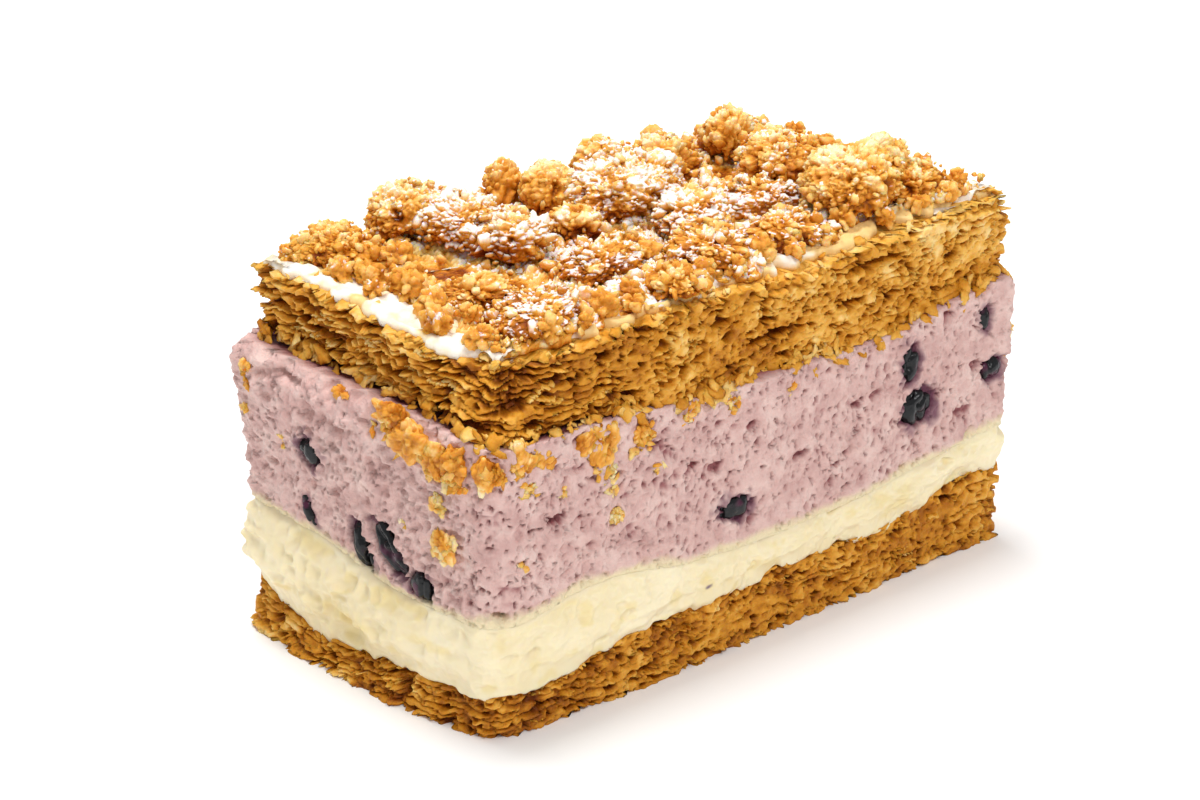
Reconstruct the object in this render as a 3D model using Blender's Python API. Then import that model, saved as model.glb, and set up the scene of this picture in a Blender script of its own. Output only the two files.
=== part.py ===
"""A slice of mille feuille: flaky base, vanilla cream, berry mousse, berries, flaky lid, icing, crumbs.

The slice lies along X, with its long cut face towards -Y and its short cut face towards -X.
Its origin is the centre of the flat underside, and +Z is up.
"""

import math
import random

import bmesh
import bpy
import numpy as np
from mathutils import Euler, Matrix, Vector, noise

MM = 0.001

# Driving dimensions of the slice, in mm as are all lengths below. The corners are listed from the one
# between the two cut faces, along the long cut face first, as are the heights of the joints.
LENGTH = 105.0
WIDTH = 54.0
CORNER_RADII = (5.0, 1.5, 3.0, 1.5)
LAYER_GAP = 0.3
ICING_THICKNESS = 1.1

# How finely the layers are faceted
AROUND = 64
CORNER_STEPS = 12
BASE_SHEETS = 6
LID_SHEETS = 10
SMOOTH_ANGLE = math.radians(50)
WELD_DISTANCE = 0.001

# Heights of the joints between layers at equal steps round the slice
BASE_TOP = (7.0, 9.2, 10.2, 10.8, 10.4, 13.4, 11.0, 9.5, 10.0, 9.6, 8.8, 9.8, 10.2, 10.6, 4.6, 5.4)
CREAM_TOP = (18.8, 20.6, 17.5, 16.8, 17.5, 19.6, 19.0, 18.2, 19.0, 18.4, 17.6, 18.2, 19.6, 21.4, 21.0, 18.3)
MOUSSE_TOP = (46.6, 45.8, 43.3, 42.7, 42.0, 44.2, 45.0, 44.8, 43.8, 43.4, 44.0, 45.0, 46.2, 47.6, 47.8, 48.0)
LID_TOP = (56.2, 57.4, 57.8, 56.6, 57.0, 57.6, 56.6, 54.8, 52.8, 53.6, 54.4, 55.2, 56.8, 58.4, 59.0, 58.0)

# Inside the slice every joint is level from this share of the way out to the cut faces
LEVEL_SHARE = 0.8
LEVEL_BASE_TOP = 9.0
LEVEL_CREAM_TOP = 18.5
LEVEL_MOUSSE_TOP = 45.0
LEVEL_LID_TOP = 57.2

# Relief of the pastry: how far the sheets' lips stand in and out, and how far the whole side wanders
FLAKE_DEPTH = (0.6, 1.6)
FLAKE_WAVE = 0.8
FLAKE_RISE = 0.35
FLAKE_PATCH = 9.0
FOOT_INSET = 0.3
FOOT_WANDER = 0.7
BASE_SHELF = 1.8
LID_EDGE_INSET = 0.6
LID_UNDERCUT = 1.6

# Relief of the creams, and how far they stand out past the lid at the shelf and at the far end
CREAM_BULGE = 1.0
CREAM_CORNER_LOSS = 0.8
CREAM_RIPPLE = 0.5
CREAM_SHELF = 0.8
MOUSSE_BULGE = 0.5
MOUSSE_RIPPLE = 0.6
MOUSSE_SHELF = 1.9
MOUSSE_END = 1.2
RIPPLE_PATCH = 11.0

# Wear at the corner between the two cut faces, and where the mousse stands out, as shares of the way
# round the slice
BASE_CORNER_REACH = 8.0
LID_CORNER_REACH = 11.0
BASE_CORNER_LOSS = 5.0
BASE_TOP_CORNER_SHARE = 0.4
LID_CORNER_LOSS = 4.5
SHELF_MIDDLE = 0.885
SHELF_HALF = 0.085
END_MIDDLE = 0.35
END_HALF = 0.025

# How far in from the lid's edge towards the level middle the icing and the crumb bed begin, as shares
ICING_START = 0.2
ICING_WANDER = 0.12
CRUMB_BED_START = 0.6
CRUMB_BED_WANDER = 0.3

# The even bed of crumbs: its height, its lumps, and the rings over it as shares of the way out
OVER_ICING = 2 * LAYER_GAP + ICING_THICKNESS
CRUMB_BED_HEIGHT = 2.0
CRUMB_BED_LUMPS = 0.6
CRUMB_BED_PATCH = 6.0
CRUMB_BED_SHARES = (0.77, 0.56, 0.32, 0.1)

# Clumps of crumbs on the lid: centre x, y, z, half length, half width, half height, turn in degrees
CLUMPS = {
    "back_left": (-42.5, 21.0, 60.4, 7.5, 4.4, 3.4, 0),
    "long_left": (-27.8, 20.0, 62.4, 7.4, 5.6, 4.8, 20),
    "long_middle": (-24.6, 12.0, 62.4, 7.6, 6.2, 4.5, -60),
    "long_right": (-22.0, 3.4, 61.8, 6.6, 5.6, 4.2, -50),
    "back_spike": (-8.2, 21.7, 60.2, 3.0, 2.8, 4.8, 0),
    "back_small": (-4.6, 14.2, 61.0, 5.0, 4.4, 4.8, 30),
    "heap": (3.0, 6.4, 61.8, 9.6, 8.6, 5.8, 20),
    "heap_shoulder": (11.0, 18.5, 60.4, 5.2, 4.4, 3.8, 0),
    "heap_back": (17.6, 13.6, 59.8, 6.8, 5.6, 4.8, 0),
    "top_knob": (29.9, 11.6, 61.6, 3.9, 3.8, 4.8, 0),
    "right_back": (31.0, 1.6, 60.6, 7.4, 6.2, 4.6, 10),
    "right_big": (30.0, -15.8, 62.2, 10.4, 7.4, 5.4, 20),
    "right_peak": (37.6, -14.6, 63.4, 3.8, 3.6, 4.2, 0),
    "right_slope": (38.6, -19.0, 60.2, 7.0, 5.0, 3.8, -20),
    "ridge": (4.6, -6.6, 60.8, 7.0, 6.2, 3.8, 60),
    "ridge_front": (-1.0, -16.4, 60.0, 7.8, 6.0, 3.6, 40),
    "tongue": (-13.0, -22.4, 59.4, 5.4, 4.4, 3.2, 70),
    "front_left": (-35.0, -16.4, 59.6, 8.4, 6.4, 3.2, 10),
    "middle": (-17.0, -8.2, 60.0, 7.2, 6.2, 3.6, 0),
    "front_right": (12.4, -18.4, 59.8, 7.8, 5.2, 3.2, 0),
    "centre_right": (18.6, -6.6, 59.8, 6.8, 5.6, 3.4, 0),
    "left_low": (-41.0, 17.0, 60.2, 5.6, 4.6, 2.6, 0),
    "left_middle": (-34.0, -4.2, 59.8, 6.2, 5.2, 3.0, 0),
    "hollow_side": (-9.2, 3.2, 60.2, 4.8, 4.2, 3.4, 0),
    "back_right": (42.0, 12.0, 56.6, 6.2, 5.2, 3.0, 0),
}
CLUMP_ROUGHNESS = 0.16
LARGE_CLUMP = 9.0
CLUMP_SINK = 0.6
CLUMP_SINK_STEP = 0.06
CLUMP_SINK_STEPS = 11

# Crumbs that stand out on the clumps
LOOSE_CRUMBS = 28
CRUMB_RADIUS = (1.5, 2.5)
CRUMB_ROUGHNESS = 0.3
CRUMB_RISE = (0.45, 1.0)
CRUMB_STRETCH = (0.75, 1.2)
CRUMB_SEED = 11

# Berries in the mousse: centre x, y, z, half sizes along x, y, z, lean in degrees
BERRIES = {
    "berry_left_upper": (-52.6, 10.9, 34.9, 2.3, 2.8, 2.8, 0),
    "berry_left_sliver": (-53.0, 12.8, 24.6, 1.2, 1.1, 2.6, 25),
    "berry_left_skin": (-51.6, 1.2, 22.9, 2.3, 2.1, 4.7, 18),
    "berry_left_fold": (-51.6, -5.0, 24.9, 2.3, 2.2, 5.2, 42),
    "berry_left_tip": (-51.6, -11.6, 20.6, 2.2, 2.6, 2.5, 0),
    "berry_front_low": (-5.6, -25.7, 23.4, 3.7, 2.3, 2.5, 0),
    "berry_front_upper": (31.0, -26.0, 35.4, 2.2, 2.2, 3.9, 0),
    "berry_front_lower": (33.0, -26.0, 28.0, 3.9, 2.3, 3.4, 0),
    "berry_corner": (49.6, -25.7, 29.6, 2.6, 2.3, 2.5, 0),
    "berry_edge": (47.6, -26.0, 38.6, 1.7, 1.9, 2.7, 0),
    "berry_end_low": (51.5, 7.0, 26.0, 2.4, 3.8, 3.2, 0),
    "berry_end_upper": (51.7, -11.0, 36.0, 2.3, 2.8, 3.0, 0),
    "berry_back_left": (-24.0, 26.0, 24.6, 4.2, 2.4, 3.2, 0),
    "berry_back_right": (13.0, 25.7, 34.6, 3.2, 2.3, 3.8, 0),
    "berry_back_small": (38.0, 26.0, 25.2, 2.6, 2.1, 2.4, 0),
}
BERRY_ROUGHNESS = 0.10
POCKET_CLEARANCE = 0.45

# Flakes of pastry stuck to the mousse: centre x, y, z, half sizes along x, y, z
STUCK_FLAKES = {
    "left_pair": (-53.4, -6.0, 41.6, 1.3, 3.4, 2.2),
    "left_large": (-53.4, -13.0, 41.0, 1.4, 4.2, 3.0),
    "left_corner": (-52.9, -20.6, 40.0, 1.4, 2.6, 2.4),
    "left_middle": (-53.3, -15.6, 28.2, 1.2, 2.6, 3.0),
    "front_left": (-43.5, -27.6, 40.2, 2.2, 1.3, 3.2),
    "front_large": (-33.0, -27.6, 38.8, 3.0, 1.5, 4.2),
    "front_middle": (-24.0, -27.4, 39.4, 2.6, 1.3, 1.9),
    "front_small": (-14.0, -27.4, 38.8, 1.8, 1.2, 1.5),
    "end_flake": (53.2, -25.4, 36.4, 1.8, 1.6, 2.2),
    "back_flake": (-8.0, 27.5, 39.0, 2.8, 1.3, 2.2),
    "back_corner": (-46.0, 27.8, 40.6, 2.2, 1.2, 2.4),
}
FLAKE_ROUGHNESS = 0.35


def dense_outline():
    """The rounded rectangle seen from above, as points along its corner arcs, anticlockwise."""
    near, right, back, left = CORNER_RADII
    arcs = (
        (-1, -1, near, -135, -90),
        (1, -1, right, -90, 0),
        (1, 1, back, 0, 90),
        (-1, 1, left, 90, 180),
        (-1, -1, near, 180, 225),
    )
    points = []
    for side_x, side_y, radius, start, end in arcs:
        middle = Vector((side_x * (LENGTH / 2 - radius), side_y * (WIDTH / 2 - radius)))
        for step in range(CORNER_STEPS + 1):
            angle = math.radians(start + (end - start) * step / CORNER_STEPS)
            points.append(middle + radius * Vector((math.cos(angle), math.sin(angle))))
    return np.array(points)


def even_outline():
    """Points at nearly equal steps round the outline, one of them at each corner.

    Returns the points, the outward direction at each, and its share of the way round.
    """
    dense = dense_outline()
    travelled = np.concatenate([[0], np.cumsum(np.hypot(*np.diff(dense, axis=0).T))])
    middles = [(CORNER_STEPS + 1) * arc + CORNER_STEPS // 2 for arc in (1, 2, 3)]
    corners = travelled[[0, *middles, -1]]
    steps = np.round(AROUND * corners / travelled[-1])
    wanted = np.interp(np.arange(AROUND), steps, corners)
    points = np.column_stack([np.interp(wanted, travelled, dense[:, k]) for k in (0, 1)])
    along = np.roll(points, -1, axis=0) - np.roll(points, 1, axis=0)
    outward = np.column_stack([along[:, 1], -along[:, 0]])
    return points, outward / np.linalg.norm(outward, axis=1)[:, None], wanted / travelled[-1]


OUTLINE, OUTWARD, SHARE_ROUND = even_outline()


def smooth_round(values, share):
    """A smooth closed curve through values at equal steps, read at a share of the way round."""
    values = np.asarray(values, float)
    place = np.asarray(share) * len(values)
    first = np.floor(place).astype(int)
    t = place - first
    before, here, after, beyond = (values[(first + k) % len(values)] for k in (-1, 0, 1, 2))
    return 0.5 * (
        2 * here
        + (after - before) * t
        + (2 * before - 5 * here + 4 * after - beyond) * t**2
        + (3 * here - before - 3 * after + beyond) * t**3
    )


def near_corner(reach):
    """1 at the corner between the two cut faces, falling to 0 along each over a reach."""
    travelled = np.minimum(SHARE_ROUND, 1 - SHARE_ROUND) * 2 * (LENGTH + WIDTH)
    return np.exp(-((travelled / reach) ** 2))


def near_shelf():
    """1 along the short cut face and its far corner, where the mousse stands out, and 0 elsewhere."""
    return np.exp(-(((SHARE_ROUND - SHELF_MIDDLE) / SHELF_HALF) ** 4))


def near_end():
    """1 where the mousse stands out a little at the far end of the long cut face, and 0 elsewhere."""
    return np.exp(-(((SHARE_ROUND - END_MIDDLE) / END_HALF) ** 2))


def patchy(points, patch, seed):
    """Smooth noise from -1 to 1 at each point, with patches of that many millimetres."""
    shift = Vector((seed * 7.3, seed * 3.1, seed * 5.7))
    return np.array([noise.noise(Vector(p) / patch + shift) for p in points])


def ring(height, offset=0.0):
    """One ring of points round the slice, at heights and outward offsets."""
    points = OUTLINE + OUTWARD * np.broadcast_to(offset, AROUND)[:, None]
    return np.column_stack([points, np.broadcast_to(height, AROUND)])


def level_ring(height, share=LEVEL_SHARE):
    """One ring of points inside the slice, where the joints between layers are level."""
    return np.column_stack([OUTLINE * share, np.full(AROUND, height)])


def material(name, colour, roughness):
    made = bpy.data.materials.new(name)
    made.use_nodes = True
    shader = made.node_tree.nodes["Principled BSDF"]
    shader.inputs["Base Color"].default_value = (*colour, 1)
    shader.inputs["Roughness"].default_value = roughness
    shader.inputs["Metallic"].default_value = 0.0
    return made


def add_object(name, bm, surface, collection, smooth=True):
    mesh = bpy.data.meshes.new(name)
    bm.to_mesh(mesh)
    bm.free()
    mesh.materials.append(surface)
    if smooth:
        mesh.shade_smooth()
        mesh.set_sharp_from_angle(angle=SMOOTH_ANGLE)
    obj = bpy.data.objects.new(name, mesh)
    collection.objects.link(obj)
    return obj


def closed_skin(rings):
    """A grid bent round through the rings, welded along its seam, with its two ends filled."""
    bm = bmesh.new()
    rows = len(rings) - 1
    bmesh.ops.create_grid(bm, x_segments=AROUND, y_segments=rows, size=1.0)
    for vertex in bm.verts:
        column = round((vertex.co.x + 1) / 2 * AROUND) % AROUND
        row = round((vertex.co.y + 1) / 2 * rows)
        vertex.co = Vector(rings[row][column]) * MM
    bmesh.ops.remove_doubles(bm, verts=bm.verts, dist=WELD_DISTANCE * MM)
    ends = [edge for edge in bm.edges if edge.is_boundary]
    bmesh.ops.holes_fill(bm, edges=ends, sides=0)
    quads = [face for face in bm.faces if len(face.verts) == 4]
    bmesh.ops.triangulate(bm, faces=quads, quad_method="SHORT_EDGE")
    bmesh.ops.recalc_face_normals(bm, faces=bm.faces)
    return bm


def flaky_rings(bottom, top, sheets, bottom_loss, top_loss, seed):
    """Rings up a flaky side, in turn out on the lip of a sheet and in between two sheets.

    The side is set back by the bottom loss at its bottom and by the top loss at its top.
    """
    rings = []
    shallow, deep = FLAKE_DEPTH
    for row in range(1, sheets):
        share = row / sheets
        lip = 1 if row % 2 else -1
        flat = ring(bottom + (top - bottom) * share)
        depth = shallow + (deep - shallow) * np.abs(patchy(flat, FLAKE_PATCH, seed + row))
        wave = FLAKE_WAVE * patchy(flat, 2 * FLAKE_PATCH, seed)
        rise = FLAKE_RISE * patchy(flat, FLAKE_PATCH, seed + 20 + row)
        loss = bottom_loss * (1 - share) + top_loss * share
        rings.append(ring(flat[:, 2] + rise, lip * depth + wave - loss))
    return rings


def base_pastry(surface, collection):
    """The lower sheets of pastry, flat underneath, their top following the cream."""
    top = smooth_round(BASE_TOP, SHARE_ROUND) - LAYER_GAP / 2
    corner = near_corner(BASE_CORNER_REACH) * BASE_CORNER_LOSS
    bottom_loss = corner - BASE_SHELF * near_shelf()
    foot = FOOT_WANDER * patchy(ring(0), FLAKE_PATCH, 3) - FOOT_INSET - bottom_loss
    rings = [level_ring(0.0), ring(0.0, foot)]
    rings += flaky_rings(0.0, top, BASE_SHEETS, bottom_loss, BASE_TOP_CORNER_SHARE * corner, 30)
    rings += [ring(top), level_ring(LEVEL_BASE_TOP - LAYER_GAP / 2)]
    return add_object("base_pastry", closed_skin(rings), surface, collection, smooth=False)


def vanilla_cream(surface, collection):
    """The pale cream, bulging over the base at the cut faces."""
    bottom = smooth_round(BASE_TOP, SHARE_ROUND) + LAYER_GAP / 2
    top = smooth_round(CREAM_TOP, SHARE_ROUND) - LAYER_GAP / 2
    bulge = CREAM_BULGE + CREAM_SHELF * near_shelf() - CREAM_CORNER_LOSS * near_corner(LID_CORNER_REACH)
    rings = [level_ring(LEVEL_BASE_TOP + LAYER_GAP / 2), ring(bottom)]
    for share in (0.2, 0.5, 0.8):
        flat = ring(bottom + (top - bottom) * share)
        ripple = CREAM_RIPPLE * patchy(flat, RIPPLE_PATCH, 5)
        rings.append(ring(flat[:, 2], bulge * math.sin(math.pi * share) + ripple))
    rings += [ring(top), level_ring(LEVEL_CREAM_TOP - LAYER_GAP / 2)]
    return add_object("vanilla_cream", closed_skin(rings), surface, collection)


def berry_mousse(surface, collection):
    """The thick mousse. It stands out past the lid along the short cut face, as a soft shelf."""
    bottom = smooth_round(CREAM_TOP, SHARE_ROUND) + LAYER_GAP / 2
    top = smooth_round(MOUSSE_TOP, SHARE_ROUND) - LAYER_GAP / 2
    rings = [level_ring(LEVEL_CREAM_TOP + LAYER_GAP / 2), ring(bottom)]
    for share, swell in ((0.1, 0.2), (0.35, 0.4), (0.62, 0.7), (0.88, 1.0)):
        flat = ring(bottom + (top - bottom) * share)
        ripple = MOUSSE_RIPPLE * patchy(flat, RIPPLE_PATCH, 9)
        out = (MOUSSE_SHELF * near_shelf() + MOUSSE_END * near_end()) * swell
        rings.append(ring(flat[:, 2], MOUSSE_BULGE + out + ripple))
    rings += [ring(top), level_ring(LEVEL_MOUSSE_TOP - LAYER_GAP / 2)]
    return add_object("berry_mousse", closed_skin(rings), surface, collection)


def lid_height(x, y):
    """The height of the lid's top at points x, y."""
    angles = np.unwrap(np.arctan2(OUTLINE[:, 1], OUTLINE[:, 0]))
    angle = angles[0] + (np.arctan2(y, x) - angles[0]) % (2 * math.pi)
    whole = [*angles, angles[0] + 2 * math.pi]
    share = np.interp(angle, whole, [*SHARE_ROUND, 1])
    reach = np.interp(angle, whole, np.hypot(*np.vstack([OUTLINE, OUTLINE[:1]]).T))
    outside = np.clip((np.hypot(x, y) / reach - LEVEL_SHARE) / (1 - LEVEL_SHARE), 0, 1)
    return LEVEL_LID_TOP + (smooth_round(LID_TOP, share) - LEVEL_LID_TOP) * outside


def lid_edge():
    """The ring at the lid's top edge, worn back at the corner between the cut faces."""
    flat = ring(0.0, -LID_EDGE_INSET - near_corner(LID_CORNER_REACH) * LID_CORNER_LOSS)
    return np.column_stack([flat[:, :2], lid_height(flat[:, 0], flat[:, 1])])


def on_lid(inward, above):
    """A ring some share of the way from the lid's edge to its level middle, above it by a height."""
    share = np.broadcast_to(inward, AROUND)[:, None]
    return lid_edge() * (1 - share) + level_ring(LEVEL_LID_TOP) * share + np.array((0, 0, above))


def lid_pastry(surface, collection):
    """The upper sheets of pastry, worn back at the corner between the cut faces."""
    bottom = smooth_round(MOUSSE_TOP, SHARE_ROUND) + LAYER_GAP / 2
    top = smooth_round(LID_TOP, SHARE_ROUND)
    corner = near_corner(LID_CORNER_REACH) * LID_CORNER_LOSS
    rings = [level_ring(LEVEL_MOUSSE_TOP + LAYER_GAP / 2), ring(bottom)]
    rings += flaky_rings(bottom, top, LID_SHEETS, LID_UNDERCUT * near_shelf(), corner, 60)
    rings += [lid_edge(), level_ring(LEVEL_LID_TOP)]
    return add_object("lid_pastry", closed_skin(rings), surface, collection, smooth=False)


def icing_layer(surface, collection):
    """The thin white icing spread over the lid, showing round the crumbs."""
    over = LAYER_GAP + ICING_THICKNESS
    start = ICING_START + ICING_WANDER * patchy(ring(0), FLAKE_PATCH, 14)
    rings = [
        level_ring(LEVEL_LID_TOP + LAYER_GAP),
        on_lid(start, LAYER_GAP),
        on_lid(start, over),
        level_ring(LEVEL_LID_TOP + over),
    ]
    return add_object("icing_layer", closed_skin(rings), surface, collection)


def crumb_bed():
    """The even bed of fine crumbs on the icing, lumpy on top."""
    start = CRUMB_BED_START + CRUMB_BED_WANDER * patchy(ring(0), FLAKE_PATCH, 17)
    rings = [level_ring(LEVEL_LID_TOP + OVER_ICING), on_lid(start, OVER_ICING)]
    rings.append(on_lid(start + 0.05, OVER_ICING + 0.7 * CRUMB_BED_HEIGHT))
    for share in CRUMB_BED_SHARES:
        flat = level_ring(0.0, share)
        lumps = CRUMB_BED_HEIGHT * (1 + CRUMB_BED_LUMPS * patchy(flat, CRUMB_BED_PATCH, 21))
        heights = lid_height(flat[:, 0], flat[:, 1]) + OVER_ICING + lumps
        rings.append(np.column_stack([flat[:, :2], heights]))
    return closed_skin(rings)


def lump(centre, half_sizes, turn, subdivisions, roughness, seed):
    """A rough ball stretched to its half sizes, turned about Z and moved to its centre."""
    bm = bmesh.new()
    bmesh.ops.create_icosphere(bm, subdivisions=subdivisions, radius=1.0)
    turned = Matrix.Rotation(math.radians(turn), 3, "Z")
    for vertex in bm.verts:
        bump = 1 + roughness * noise.noise(vertex.co * 2.1 + Vector((seed, seed * 2.0, 0)))
        local = Vector(size * value for size, value in zip(half_sizes, vertex.co * bump))
        vertex.co = (turned @ local + Vector(centre)) * MM
    return bm


def keep_above_icing(bm, number):
    """Flattens a lump's underside inside the crumb bed, each lump at a height of its own."""
    sink = CLUMP_SINK + CLUMP_SINK_STEP * (number % CLUMP_SINK_STEPS)
    for vertex in bm.verts:
        icing = float(lid_height(vertex.co.x / MM, vertex.co.y / MM)) + OVER_ICING
        vertex.co.z = max(vertex.co.z, (icing + sink) * MM)


def loose_crumb(number, rng):
    """A small crumb on the upper side of a clump, half sunk in it."""
    x, y, z, length, width, height, turn = rng.choice(list(CLUMPS.values()))
    round_angle = rng.uniform(0, 2 * math.pi)
    rise = rng.uniform(*CRUMB_RISE)
    flat = math.sqrt(1 - rise**2)
    on_clump = Vector((flat * math.cos(round_angle), flat * math.sin(round_angle), rise))
    local = Vector(half * value for half, value in zip((length, width, height), on_clump))
    place = Matrix.Rotation(math.radians(turn), 3, "Z") @ local + Vector((x, y, z))
    radius = rng.uniform(*CRUMB_RADIUS)
    sizes = [radius * rng.uniform(*CRUMB_STRETCH) for _ in range(3)]
    return lump(place, sizes, rng.uniform(0, 180), 1, CRUMB_ROUGHNESS, number * 1.7)


def join_all(obj, pieces, collection_name):
    """Fuses the pieces to obj with one Boolean, applies it, and keeps the largest closed surface."""
    joined = bpy.data.collections.new(collection_name)
    bpy.context.scene.collection.children.link(joined)
    for number, bm in enumerate(pieces):
        bmesh.ops.recalc_face_normals(bm, faces=bm.faces)
        add_object(f"{collection_name}_{number}", bm, obj.data.materials[0], joined)
    union = obj.modifiers.new("join pieces", "BOOLEAN")
    union.operation = "UNION"
    union.operand_type = "COLLECTION"
    union.collection = joined
    union.solver = "MANIFOLD"
    bpy.context.view_layer.update()
    evaluated = obj.evaluated_get(bpy.context.evaluated_depsgraph_get())
    fused = bpy.data.meshes.new_from_object(evaluated)
    obj.modifiers.remove(union)
    obj.data = fused
    for piece in list(joined.objects):
        bpy.data.objects.remove(piece)
    bpy.data.collections.remove(joined)
    keep_largest_surface(fused)


def keep_largest_surface(mesh):
    """Removes sealed hollows and loose scraps, which are surfaces apart from the largest."""
    bm = bmesh.new()
    bm.from_mesh(mesh)
    waiting = set(bm.faces)
    surfaces = []
    while waiting:
        found = [waiting.pop()]
        for face in found:
            for edge in face.edges:
                for other in edge.link_faces:
                    if other in waiting:
                        waiting.remove(other)
                        found.append(other)
        surfaces.append(found)
    surfaces.sort(key=len)
    for surface in surfaces[:-1]:
        bmesh.ops.delete(bm, geom=surface, context="FACES")
    bm.to_mesh(mesh)
    bm.free()


def crumb_topping(surface, collection):
    """The heap of crumbs: the fine bed, the clumps and the crumbs that stand out on them."""
    rng = random.Random(CRUMB_SEED)
    topping = add_object("crumb_topping", crumb_bed(), surface, collection, smooth=False)
    pieces = []
    for number, (x, y, z, length, width, height, turn) in enumerate(CLUMPS.values()):
        fineness = 3 if length > LARGE_CLUMP else 2
        sizes = (length, width, height)
        pieces.append(lump((x, y, z), sizes, turn, fineness, CLUMP_ROUGHNESS, number * 3.3))
    pieces += [loose_crumb(number, rng) for number in range(LOOSE_CRUMBS)]
    for number, bm in enumerate(pieces):
        keep_above_icing(bm, number)
    join_all(topping, pieces, "crumb_pieces")
    return topping


def berry(name, sizes, surface, collection, swell=0.0):
    """A berry cut open by the knife: a lumpy ball in the mousse, standing a little proud of it.

    Its pocket in the mousse is the same ball, swollen by the clearance.
    """
    x, y, z, half_x, half_y, half_z, lean = sizes
    bm = bmesh.new()
    bmesh.ops.create_icosphere(bm, subdivisions=2, radius=1.0)
    for vertex in bm.verts:
        bump = 1 + BERRY_ROUGHNESS * noise.noise(vertex.co * 1.9 + Vector((x, y, z)))
        halves = (half_x + swell, half_y + swell, half_z + swell)
        vertex.co = Vector(half * value * MM for half, value in zip(halves, vertex.co * bump))
    obj = add_object(name, bm, surface, collection)
    obj.location = Vector((x, y, z)) * MM
    obj.rotation_euler = Euler((math.radians(-lean), 0, 0))
    return obj


def cut_pockets(obj, cutters):
    pocket = obj.modifiers.new("berry pockets", "BOOLEAN")
    pocket.operation = "DIFFERENCE"
    pocket.operand_type = "COLLECTION"
    pocket.collection = cutters
    pocket.solver = "EXACT"


def stuck_flake(number, sizes):
    x, y, z, half_x, half_y, half_z = sizes
    return lump((x, y, z), (half_x, half_y, half_z), 0, 1, FLAKE_ROUGHNESS, 40 + number * 2.9)


def main():
    for obj in list(bpy.data.objects):
        bpy.data.objects.remove(obj)
    slice_parts = bpy.data.collections.new("mille_feuille_slice")
    cutters = bpy.data.collections.new("cutters")
    bpy.context.scene.collection.children.link(slice_parts)
    bpy.context.scene.collection.children.link(cutters)

    pastry = material("pastry", (0.56, 0.31, 0.08), 0.7)
    cream = material("vanilla_cream", (0.86, 0.76, 0.45), 0.45)
    mousse = material("berry_mousse", (0.60, 0.40, 0.43), 0.55)
    icing = material("icing", (0.90, 0.86, 0.72), 0.5)
    crumbs = material("crumbs", (0.66, 0.37, 0.13), 0.65)
    berry_skin = material("berry", (0.03, 0.01, 0.04), 0.25)

    base_pastry(pastry, slice_parts)
    cream_layer = vanilla_cream(cream, slice_parts)
    mousse_layer = berry_mousse(mousse, slice_parts)
    lid_pastry(pastry, slice_parts)
    icing_layer(icing, slice_parts)
    crumb_topping(crumbs, slice_parts)

    flakes = [stuck_flake(number, sizes) for number, sizes in enumerate(STUCK_FLAKES.values())]
    join_all(mousse_layer, flakes, "stuck_flakes")
    for name, sizes in BERRIES.items():
        berry(name, sizes, berry_skin, slice_parts)
        cutter = berry(f"{name}_pocket", sizes, berry_skin, cutters, swell=POCKET_CLEARANCE)
        cutter.hide_render = True
        cutter.display_type = "WIRE"
    cut_pockets(mousse_layer, cutters)
    cut_pockets(cream_layer, cutters)


main()
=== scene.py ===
"""The looks of a slice of mille feuille: torn pastry sheets, pitted mousse, cream, icing, crumbs and sugar.

All lengths are in millimetres until a mesh is written, with the slice's long cut face towards -Y, its
short cut face towards -X, and the floor at 0.
"""

import itertools
import math

import bpy
import numpy as np
from mathutils import Matrix, Vector


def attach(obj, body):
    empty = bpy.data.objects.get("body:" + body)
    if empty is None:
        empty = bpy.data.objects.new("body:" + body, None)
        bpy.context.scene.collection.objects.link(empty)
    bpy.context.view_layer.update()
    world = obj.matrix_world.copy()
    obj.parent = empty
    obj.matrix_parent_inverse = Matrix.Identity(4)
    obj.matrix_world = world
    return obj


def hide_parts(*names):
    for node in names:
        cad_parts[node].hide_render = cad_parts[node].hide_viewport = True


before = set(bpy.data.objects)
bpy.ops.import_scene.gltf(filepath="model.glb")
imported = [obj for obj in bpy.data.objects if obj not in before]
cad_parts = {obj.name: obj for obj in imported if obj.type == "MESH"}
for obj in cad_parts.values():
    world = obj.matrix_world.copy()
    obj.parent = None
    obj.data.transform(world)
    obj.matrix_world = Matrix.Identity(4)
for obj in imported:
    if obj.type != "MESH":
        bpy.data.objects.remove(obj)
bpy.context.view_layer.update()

MM = 0.001

# The slice, as in the solids. Corners and heights start between the two cut faces and run along the
# long cut face first.
LENGTH = 105.0
WIDTH = 54.0
CORNER_RADII = (5.0, 1.5, 3.0, 1.5)

# Each layer is level in its middle, out to a share of the way to its side
LEVEL_SHARE = 0.8
LEVEL_BASE_TOP = 9.0
LEVEL_CREAM_TOP = 18.5
LEVEL_MOUSSE_TOP = 45.0
LEVEL_LID_TOP = 57.2

# How far over the lid the crumbs lie, on top of the icing
OVER_ICING = 1.7

# How far apart the noises of two pastry sheets are read, so that each sheet is torn in its own way
SHEETS_APART = 31.7

# How far each layer stays clear of the height of a joint, and how far the mousse and the cream pass theirs
JOINT_GAP = 0.15
MOUSSE_PAST_JOINT = 0.35
CREAM_PAST_JOINT = 0.1

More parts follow.
